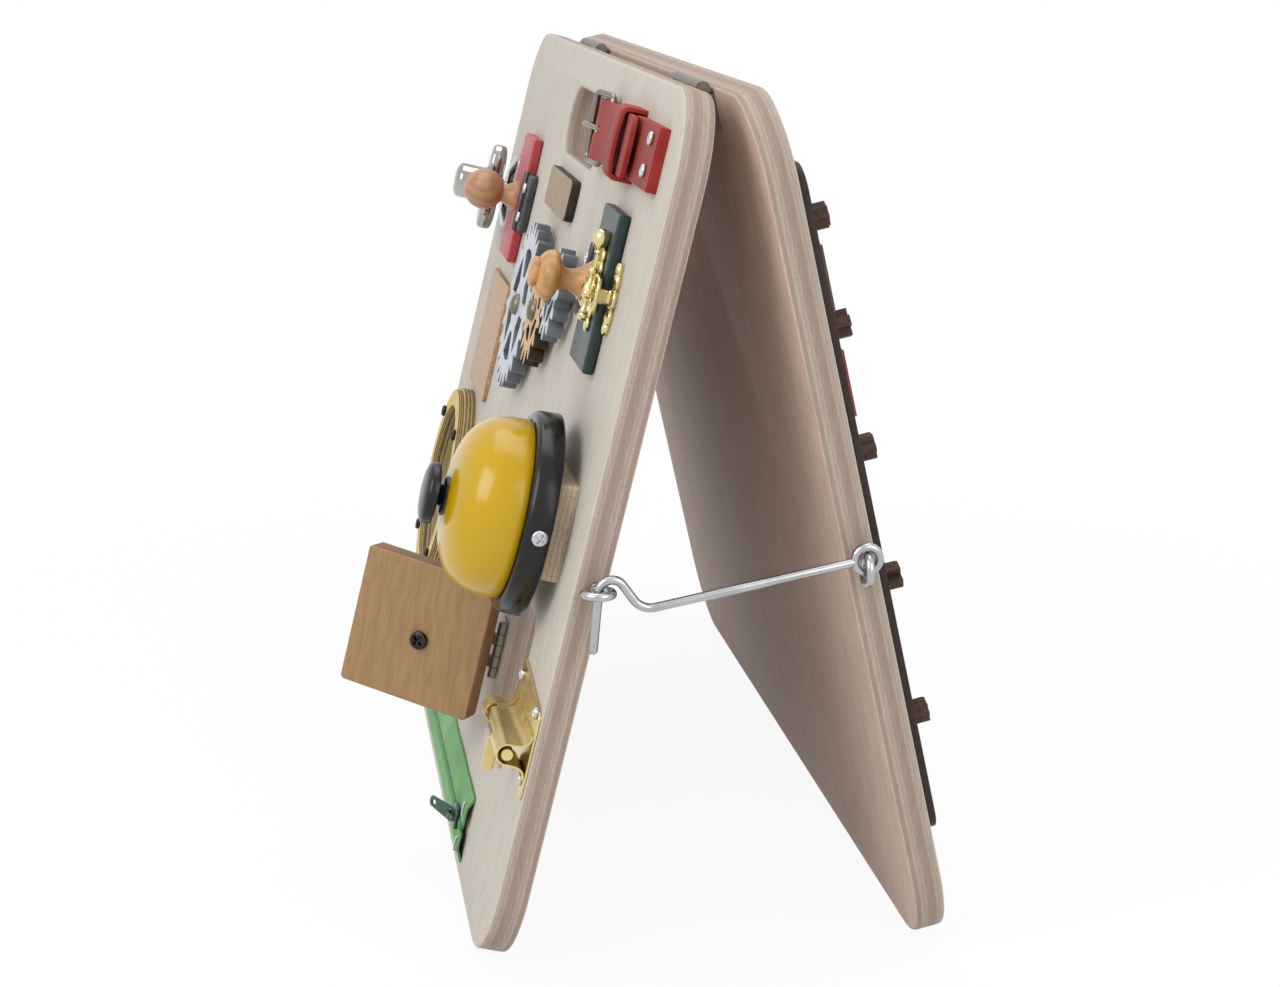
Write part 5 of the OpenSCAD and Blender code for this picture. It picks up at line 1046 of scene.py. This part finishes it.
t = np.linspace(-math.pi / 2, -math.pi * 1.5, 22)
wrap = np.stack([BAR_U + WRAP_R * np.cos(t), BAR_HIGH + WRAP_R * np.sin(t)], 1)
wrap_end = smooth_line([(95, 5.6), (97.2, 4.5), (99.2, 3.4)], 6)
wrap = np.concatenate([[(99.2, 1.12), (96, 1.1)], wrap, wrap_end])
layers = [band(smooth_line(line, 60), STRAP_THICK, STRAP_WIDE) for line in (LOW_LINE, TOP_LINE)]
layers += [band(wrap, WRAP_THICK, WRAP_WIDE, STRAP_Y + k * WRAP_OUT) for k in (-1, 1)]
v, f = join(layers)
as_piece("strap_near_doubled", on_face(v), f, "front", webbing, ["strap_long"], angle=50)

far_line = smooth_line(FAR_LINE, 150)
back = np.clip(TIP_R - (TIP_END - far_line[:, 0]), 0, TIP_R)
wide = STRAP_WIDE - 2 * (TIP_R - np.sqrt(TIP_R**2 - back**2))
split = (far_line[:, 0] > SPLIT_START) & (far_line[:, 0] < SPLIT_END)
first, last = int(np.argmax(split)), len(split) - int(np.argmax(split[::-1]))
layers = [band(far_line[: first + 1], STRAP_THICK, STRAP_WIDE)]
layers += [band(far_line[last - 1 :], STRAP_THICK, wide[last - 1 :])]
split_line = far_line[first - 1 : last + 1]
layers += [band(split_line, STRAP_THICK, SPLIT_WIDE, STRAP_Y + k * SPLIT_OUT) for k in (-1, 1)]
v, f = join(layers)
as_piece("strap_far_free_tip", on_face(v), f, "front", webbing, ["strap_short"], angle=50)
v, f = join([keeper(144.6, 11.7, 9.3, 0.02), keeper(157.6, 12.4, 11.0, -0.02)])
as_piece("strap_keeper_loops", on_face(v), f, "front", webbing, ["strap_loops"], angle=50)

LIFT, FRAME_LONG, FRAME_HALF, FRAME_TWIST, FRAME_BEND = math.radians(12), 18.5, 14.75, 1.0, 3.0
FRAME_R, PRONG_R, PRONG_EYE_R = 1.5, 1.15, 2.2
PRONG_LINE = [(0.4, 0, 2.4), (3, 0, 2.95), (9, 0, 3.0), (13, 0, 3.0), (16, 0, 3.0), (19, 0, 2.9)]
PRONG_LINE += [(21.4, 0, 2.6)]
buckle_wire = metal(
    "buckle wire", srgb(138, 130, 122), rough=0.24, dull=0.12, scale=150, bump=0.03, dirt=0.3
)


def on_buckle(points):
    """Buckle frame to board frame, x from the bar to the far side and z off the frame: along the board
    it is bar - x cos(lift) + z sin(lift), and above it bar height + x sin(lift) + z cos(lift)."""
    p = np.asarray(points, float)
    x = BAR_U - p[:, 0] * math.cos(LIFT) + p[:, 2] * math.sin(LIFT)
    z = BAR_HIGH + p[:, 0] * math.sin(LIFT) + p[:, 2] * math.cos(LIFT)
    return np.stack([x, STRAP_Y + p[:, 1], z], 1)


corners = [(0, -FRAME_HALF, 0), (FRAME_LONG, -FRAME_HALF, -FRAME_TWIST)]
corners += [(FRAME_LONG, FRAME_HALF, FRAME_TWIST), (0, FRAME_HALF, 0)]
path = []
for k in range(4):
    before, here, after = (np.array(corners[(k + step) % 4], float) for step in (-1, 0, 1))
    u = (before - here) / np.linalg.norm(before - here)
    w = (after - here) / np.linalg.norm(after - here)
    middle = here + (u + w) * FRAME_BEND
    for t in np.linspace(0, math.pi / 2, 7):
        path.append(middle - w * FRAME_BEND * math.cos(t) - u * FRAME_BEND * math.sin(t))
v, f = tube(on_buckle(path), FRAME_R, closed=True, steps=18)
as_piece("buckle_wire_frame", on_face(v), f, "front", buckle_wire, ["buckle_frame"], angle=60)
t = np.linspace(0, 2 * math.pi, 22, endpoint=False)
eye_ring = PRONG_EYE_R * np.stack([np.cos(t), np.zeros(22), np.sin(t)], 1)
prong_eye = tube(on_buckle(eye_ring), 1.0, closed=True, section=rounded(0.9, 2.2, 0.4, steps=2))
v, f = join([prong_eye, tube(on_buckle(smooth_line(PRONG_LINE, 34)), PRONG_R, steps=14)])
as_piece("buckle_prong_wire", on_face(v), f, "prong", buckle_wire, ["buckle_prong"], angle=60)

# Desk bell.
# Yellow enamelled dome over a black enamelled base, black button on a stem, on a bare plywood block.
# The dome's profile is a superellipse: radius and height are cos t and sin t to the power 2 / 2.95.
BELL, BLOCK_HIGH, BLOCK_DOWN, SIDE_SCREW_OUT, SIDE_SCREW_HIGH = (181.5, -179.7), 8.0, 178.5, 41.2, 12.6
DOME_R, DOME_LOW, DOME_RISE, DOME_POWER = 36.6, 19.0, 28.0, 2 / 2.95
RIM = [(35.2, 19.0), (36.2, 18.8), (36.6, 19.1)]
BELL_BASE = [(0, 8), (40.9, 8), (41.5, 8.2), (41.7, 8.9), (41.2, 16.2), (40.7, 17.6), (39.9, 18.5)]
BELL_BASE += [(38.6, 18.9), (37.2, 18.7), (36.9, 18.0), (35.4, 17.7), (0, 17.7)]
COLLAR = [(4.8, 46.7), (8.0, 46.7), (8.0, 47.6), (7.5, 48.2), (6.2, 48.5), (4.8, 48.5), (4.8, 46.7)]
BUTTON = [(0, 42.7), (6, 42.7), (6, 44.2), (4.2, 44.5), (4.2, 50.2), (4.6, 50.6), (11.4, 50.6)]
BUTTON += [(12.3, 50.9), (12.5, 51.7), (12.5, 53.4), (12.2, 54.4), (11.2, 55.2), (9, 55.9), (6, 56.3)]
BUTTON += [(3, 56.5), (0, 56.5)]


def enamel(name, tone, dark, rough, shine=0.15):
    """Gloss enamel: even colour with slightly uneven roughness, small chips along it and fine dust."""
    s = Shade(name, rough=rough, coat=shine, spec=0.3)
    where = s.place()
    pebbles = s.noise(where, 320.0, 2)
    wear = s.noise(where, 40.0, 6, 0.7)
    chips = s.ramp(wear, [(0.70, (0, 0, 0)), (0.73, (0.5, 0.5, 0.5))])
    uneven = s.math("ADD", s.math("MULTIPLY", wear, 0.2), rough)
    return s.finish(s.mix(chips, tone, dark), uneven, bump=pebbles, strength=0.02, distance=0.0002)


block_edges = [srgb(214, 194, 166), srgb(190, 166, 140)]
block_face, block_glue = srgb(214, 196, 168), srgb(130, 104, 84)
bell_ply = plywood("bell block ply", on_face, 0, BLOCK_HIGH, 5, block_face, block_edges, block_glue, 0.2)
slab(
    "bell_ply_block", rounded(67, 39, 1.0), [], 0, BLOCK_HIGH, 0.4, "front", bell_ply,
    ["bell_block"], at=(BELL[0], BLOCK_DOWN),
)
yellow = enamel("yellow enamel", srgb(192, 153, 4), srgb(196, 160, 30), 0.12, 0.25)
black = enamel("black enamel", srgb(22, 22, 24), srgb(52, 52, 54), 0.14, 0.08)
t = np.linspace(0, math.pi / 2, 34)
dome_r = DOME_R * np.abs(np.cos(t)) ** DOME_POWER
dome_high = DOME_LOW + DOME_RISE * np.sin(t) ** DOME_POWER
dome = np.stack([dome_r, dome_high], 1)
dome[-1, 0] = 0
dome = np.concatenate([RIM, dome[1:]])
for name, node_name, profile, body, slot, coat, steps, angle in (
    ("bell_yellow_dome", "bell_dome", dome, "front", "bell_yellow", yellow, 96, 60),
    ("bell_black_base", "bell_base", BELL_BASE, "front", "bell_black", black, 96, 50),
    ("bell_collar_ring", "bell_collar", COLLAR, "front", "bell_black", black, 48, 50),
    ("bell_push_button", "bell_button", BUTTON, "button", "bell_black", black, 64, 50),
):
    v, f = turned(profile, (*BELL, 0), steps)
    as_piece(name, on_face(v), f, body, coat, [node_name], angle=angle)
v, f = cross_head(6.5, 1.8, 0.2, 0.4)
v = np.stack([BELL[0] + SIDE_SCREW_OUT + v[:, 2], BELL[1] + v[:, 1], SIDE_SCREW_HIGH + v[:, 0]], 1)
as_piece("bell_side_screw", on_face(v), f, "front", zinc, ["bell_screw"])

# Window door.
# 11.5 mm board leaf that closes the square window and stands open on a small steel butt hinge; a turned
# pine knob is glued to its outer face, and one large black screw runs in from behind.
OPEN = math.radians(119.4)
HINGE_U, HINGE_V, HINGE_HIGH = 123.81, WINDOW_V, 2.3
DOOR_WIDE, DOOR_INNER, DOOR_OUTER, DOOR_MIDDLE = 61.5, -13.8, -2.36, (32.69, 0.2)
KNOB_AT = (30.7, -3.0)


def on_door(points):
    """Door frame to metres: x across the leaf from the hinge, y up, z outwards when it is shut; along
    the board it is x cos(open) - z sin(open), and above it x sin(open) + z cos(open)."""
    p = np.asarray(points, float)
    along = HINGE_U + p[..., 0] * math.cos(OPEN) - p[..., 2] * math.sin(OPEN)
    high = HINGE_HIGH + p[..., 0] * math.sin(OPEN) + p[..., 2] * math.cos(OPEN)
    return on_face(np.stack([along, HINGE_V + p[..., 1], high], -1))


oiled = Shade("oiled board of the window door", rough=0.5, spec=0.4)
oiled_grain = oiled.noise(oiled.place((150, 40, 8), (0, 0, 0.5)), 5.0, 6, 0.6, 0.3)
speck = oiled.math("GREATER_THAN", oiled.noise(oiled.place(), 520.0, 2), 0.7)
stain = oiled.noise(oiled.place(), 26.0, 5, 0.6)
leaf_face = oiled.ramp(oiled_grain, [(0.3, srgb(144, 111, 72)), (0.62, srgb(162, 129, 88))])
leaf_face = oiled.mix(oiled.math("MULTIPLY", speck, 0.3), leaf_face, srgb(96, 66, 40))
leaf_side = oiled.ramp(stain, [(0.35, srgb(112, 78, 48)), (0.7, srgb(156, 114, 72))])
leaf_flat = oiled.math("GREATER_THAN", oiled.math("ABSOLUTE", facing_share(oiled, on_door)), 0.6)
oiled.finish(oiled.mix(leaf_flat, leaf_side, leaf_face), bump=oiled_grain, strength=0.15, distance=0.0005)
slab(
    "window_door_leaf", rounded(DOOR_WIDE, DOOR_WIDE, 2), [], DOOR_INNER, DOOR_OUTER, 0.9, "window_door",
    oiled.mat, ["window_door"], at=DOOR_MIDDLE, place=on_door,
)
v, f = turned(knob_line, (*KNOB_AT, DOOR_OUTER))
as_piece("window_door_knob", on_door(v), f, "window_door", pine_mat, ["window_knob"], angle=60)
v, f = cross_head(8, 2.0, 0.25, 0.6)
v = on_door(v * (1, 1, -1) + (*KNOB_AT, DOOR_INNER))
as_piece("window_door_screw", v, f, "window_door", black_screw, ["window_screw"])
repaint(hinge_metal, "door_hinge_fixed", "door_hinge_leaf", "small_pins")

# Bolt.
# Barrel bolt pressed from brassed sheet: a winged plate rolled into guides over a round rod, which a
# flat thumb tab moves; four zinc screws hold it.
ROD_Y, ROD_HIGH, GUIDE_THICK, STEP_R = -259.5, 9.5, 0.7, 3.6
TAB_LONG, TAB_TALL, TAB_Y, TAB_HIGH, TAB_FROM, TAB_TO = 14.0, 4.8, -268.0, 11.6, 222.6, 224.4
WING = [(190.2, -237.6), (190.0, -244.5), (191.4, -252), (191.6, -262), (190.2, -269), (190.2, -274.8)]
WING += [(197, -274.4), (206, -271.2), (219, -269.8), (232, -271.0), (242, -274.9), (248.6, -276.4)]
WING += [(249.4, -270), (249.4, -258), (249.4, -247), (248.4, -242.2), (242, -240.2), (218, -238.6)]
WING += [(199, -237.4)]
GUIDES = [(189.6, 198.8, 4.1), (228.4, 249.4, 4.1), (200.8, 226.4, 3.3)]
ROD = [(0, 189.6), (2.2, 189.6), (2.58, 190.1), (2.58, 249.0), (2.25, 249.45), (0, 249.5)]
brass = metal("brassed sheet", srgb(228, 208, 146), rough=0.32, dull=0.16, scale=80, bump=0.05, dirt=0.3)
plate = smooth_line(WING, 110, True)
slab("bolt_wing_plate", plate, [], 0, 1.0, 0.35, "front", brass, ["bolt_plate"])


def sheet_loop(line, thick):
    """A closed loop round the cross line of a thin sheet: the line offset to both sides by half the
    thickness."""
    half = sideways(line) * thick / 2
    return np.concatenate([line + half, (line - half)[::-1]])


def sheet_faces(stations, points):
    """Faces of a sheet whose loop has two sides of that many points, with quads over both ends."""
    n = 2 * points
    faces = grid_faces(stations, n)
    i = np.arange(points - 1)
    for base, way in ((0, 1), ((stations - 1) * n, -1)):
        end = np.stack([base + i, base + i + 1, base + n - 2 - i, base + n - 1 - i], 1)
        faces += end[:, ::way].tolist()
    return faces


def guide(x0, x1, r):
    """A sheet arched over the rod from x0 to x1, with a station a quarter millimetre in from each end: a
    half circle of radius r with a foot at each side, or for the low middle one a quarter with one foot."""
    whole = r > STEP_R
    t = np.linspace(-math.pi / 2, math.pi / 2, 26) if whole else np.linspace(0.8, math.pi / 2, 14)
    arc = np.stack([r * np.sin(t), ROD_HIGH + r * np.cos(t)], 1)
    foot = np.array([(r + 0.05, 6.6), (r + 0.5, 4.0), (r + 2.2, 1.95), (r + 4.8, 1.4)])
    line = smooth_line(np.concatenate([(foot * (-1, 1))[::-1], arc, foot] if whole else [arc, foot]), 70)
    loop = sheet_loop(line, GUIDE_THICK)
    xs = np.array([x0, x0 + 0.25, x1 - 0.25, x1])
    v = np.empty((len(xs), len(loop), 3))
    v[..., 0] = xs[:, None]
    v[..., 1] = ROD_Y + loop[None, :, 0]
    v[..., 2] = loop[None, :, 1]
    return v.reshape(-1, 3), sheet_faces(len(xs), len(line))


v, f = join([guide(*sizes) for sizes in GUIDES])
as_piece("bolt_rolled_guides", on_face(v), f, "front", brass, angle=50)
t = np.linspace(0, 2 * math.pi, 28, endpoint=False)
rod_line = np.array(ROD)
rod_u, rod_r = np.repeat(rod_line[:, 1:], 28, 1), rod_line[:, :1]
rod = np.stack([rod_u, ROD_Y + rod_r * np.cos(t), ROD_HIGH + rod_r * np.sin(t)], -1)
tab_edge = rounded(TAB_LONG, TAB_TALL, 1.3, TAB_Y, TAB_HIGH, 4)
tab, tab_faces = slab_data(tab_edge, [], TAB_FROM, TAB_TO, 0.3)
v, f = join([(rod, grid_faces(len(rod_line), 28)), (tab[:, [2, 0, 1]], tab_faces)])
as_piece("bolt_rod_with_tab", on_face(v), f, "bolt", brass, ["bolt_rod"], angle=45)

# Zip.
# Light green woven tapes stapled along the lower edge over a closed chain of moulded teeth, with a dark
# green lacquered slider near its near end. The tapes' edges wave a little along their length.
ZIP_Y, ZIP_LOW, ZIP_HIGH, TAPE_THICK, SLIDE_X = -329.0, -150.0, 148.0, 0.9, 132.0
TOOTH_STEP, TOOTH_START, TOOTH_SIDE = 1.3, 3.65, 0.62
TAPE_LINE = [(15.0, 0.5), (13.4, 0.75), (11.2, 1.9), (9.0, 2.72), (6.0, 2.85), (3.6, 2.8), (1.7, 2.78)]
cloth = Shade("woven zip tape", rough=0.85, spec=0.2)
threads = []
for scale, direction in ((320.0, "X"), (260.0, "Z")):
    values, links = [("Scale", scale), ("Distortion", 0.6)], [("Vector", cloth.place(turn=(TILT, 0, 0)))]
    threads.append(cloth.add("TexWave", "Fac", values, links, bands_direction=direction))
weave = cloth.math("MULTIPLY", *threads)
cloud = cloth.noise(cloth.place(), 30.0, 4)
cloth_tone = cloth.ramp(cloud, [(0.3, srgb(116, 164, 112)), (0.7, srgb(140, 186, 132))])
cloth_tone = cloth.marks(0.25, cloth_tone, weave, [(0.1, (0.55, 0.6, 0.5)), (0.6, (1, 1, 1))])
# Where the tapes turn away from the board's outward direction they darken towards a deeper green: painted
# shade on their sides.
painted_edge_shade = cloth.ramp(facing_share(cloth, on_face), [(0.2, (1, 1, 1)), (0.85, (0, 0, 0))])
cloth_tone = cloth.mix(cloth.math("MULTIPLY", painted_edge_shade, 0.7), cloth_tone, srgb(84, 136, 76))
cloth.finish(cloth_tone, bump=weave, strength=0.35, distance=0.0003)
tape_line = smooth_line(TAPE_LINE, 26)
loop = sheet_loop(tape_line, TAPE_THICK)
xs = np.linspace(ZIP_LOW, ZIP_HIGH, 150)
for name, way in (("zip_tape_upper", 1), ("zip_tape_lower", -1)):
    sway = 0.25 * np.sin(xs / 17.0 + way) + 0.12 * np.sin(xs / 5.3)
    free = np.clip((loop[None, :, 0] - 3.0) / 10.0, 0, 1)
    v = np.empty((len(xs), len(loop), 3))
    v[..., 0] = xs[:, None]
    v[..., 1] = ZIP_Y + way * (loop[None, :, 0] - np.abs(sway)[:, None] * free)
    v[..., 2] = loop[None, :, 1]
    f = sheet_faces(len(xs), len(tape_line))
    tape = as_piece(name, on_face(v), f, "front", cloth.mat, ["zip_tapes"], angle=60)


def repeated(points, faces, places):
    """The points moved to every place, their quads and triangles numbered on for each copy."""
    v = points[None] + places[:, None]
    step = (np.arange(len(places)) * len(points))[:, None, None]
    out = []
    for sides in (4, 3):
        kind = np.array([face for face in faces if len(face) == sides])
        out += (kind[None] + step).reshape(-1, sides).tolist()
    return v.reshape(-1, 3), out


teeth_green = Shade("moulded green teeth", rough=0.4, spec=0.45)
teeth_cloud = teeth_green.noise(teeth_green.place(), 160.0, 3)
teeth_tone = teeth_green.ramp(teeth_cloud, [(0.3, srgb(76, 126, 84)), (0.7, srgb(104, 152, 104))])
teeth_green.finish(teeth_tone, bump=teeth_cloud, strength=0.05)
tooth, tooth_faces = slab_data(rounded(1.05, 2.5, 0.35, 0, 0, 2), [], 1.7, 3.9, 0.35, 1)
count = int((ZIP_HIGH - ZIP_LOW - 6) / TOOTH_STEP)
x = ZIP_LOW + TOOTH_START + TOOTH_STEP * np.arange(count)
side = np.where(np.arange(count) % 2 == 0, TOOTH_SIDE, -TOOTH_SIDE)
v, f = repeated(tooth, tooth_faces, np.stack([x, ZIP_Y + side, np.zeros(count)], 1))
flat = facing(on_face)[1]
as_piece("zip_teeth_row", on_face(v), f, "front", teeth_green.mat, ["zip_chain"], flat=flat)

lacquer = enamel("dark green lacquer", srgb(52, 84, 72), srgb(120, 130, 126), 0.25)
BOW_LINE = [(-4.0, 0, 4.9), (-3.9, 0, 6.6), (-2.8, 0, 7.7), (0, 0, 7.9), (2.8, 0, 7.7), (3.9, 0, 6.6)]
BOW_LINE += [(4.0, 0, 4.9)]
t = np.linspace(-1, 1, 15)
half = 3.3 + 1.7 * (1 - np.abs(t)) ** 0.5
plate = np.concatenate([np.stack([6.4 * t, -half], 1), np.stack([6.4 * t[::-1], half[::-1]], 1)])
parts = [slab_data(plate, [], 4.3, 5.3, 0.35)]
parts += [slab_data(rounded(8.0, 1.2, 0.5, 0, k * 4.25, 3), [], 3.7, 4.8, 0.2) for k in (-1, 1)]
bow_section = rounded(0.8, 2.3, 0.3, steps=2)
parts.append(tube(smooth_line(BOW_LINE, 34), 1.0, section=bow_section))
v, f = join(parts)
v = on_face(v + (SLIDE_X, ZIP_Y, 0))
as_piece("zip_slider_body", v, f, "slider", lacquer, ["zip_slider"], angle=50)

RISE, ROOT_X, ROOT_HIGH, TIP_X = math.radians(30), -1.2, 6.1, -16.4
t = np.linspace(-math.pi / 2, math.pi / 2, 9)
tip = np.stack([TIP_X - 1.6 * np.cos(t[::-1]), 2.4 * np.sin(t[::-1])], 1)
root = np.stack([ROOT_X + 1.4 * np.cos(t), 3.4 * np.sin(t)], 1)
holes = [rounded(3.2, 3.6, 0.9, -2.6, 0, 4), rounded(2.4, 2.0, 0.9, -14.8, 0, 4)]
v, f = slab_data(np.concatenate([root, tip]), holes, 5.72, 6.5, 0.25)
x, z = v[:, 0] - ROOT_X, v[:, 2] - ROOT_HIGH
turned_x = x * math.cos(RISE) + z * math.sin(RISE) + ROOT_X
turned_z = z * math.cos(RISE) - x * math.sin(RISE) + ROOT_HIGH
v = on_face(np.stack([turned_x, v[:, 1], turned_z], 1) + (SLIDE_X, ZIP_Y, 0))
as_piece("zip_pull_tab", v, f, "pull", lacquer, ["zip_pull"], angle=50)

STAPLE_SIDE = [(3.0, 2.9), (2.9, 3.7), (2.3, 3.95)]
staples = []
for x in (-146.0, 144.0):
    for y in (ZIP_Y - 8.0, ZIP_Y + 8.0):
        wire = [(x, y - d, z) for d, z in STAPLE_SIDE] + [(x, y + d, z) for d, z in STAPLE_SIDE[::-1]]
        staples.append(tube(smooth_line(wire, 22), 0.45, steps=10))
v, f = join(staples)
as_piece("zip_tape_staples", on_face(v), f, "front", zinc, ["zip_staples"], angle=60)
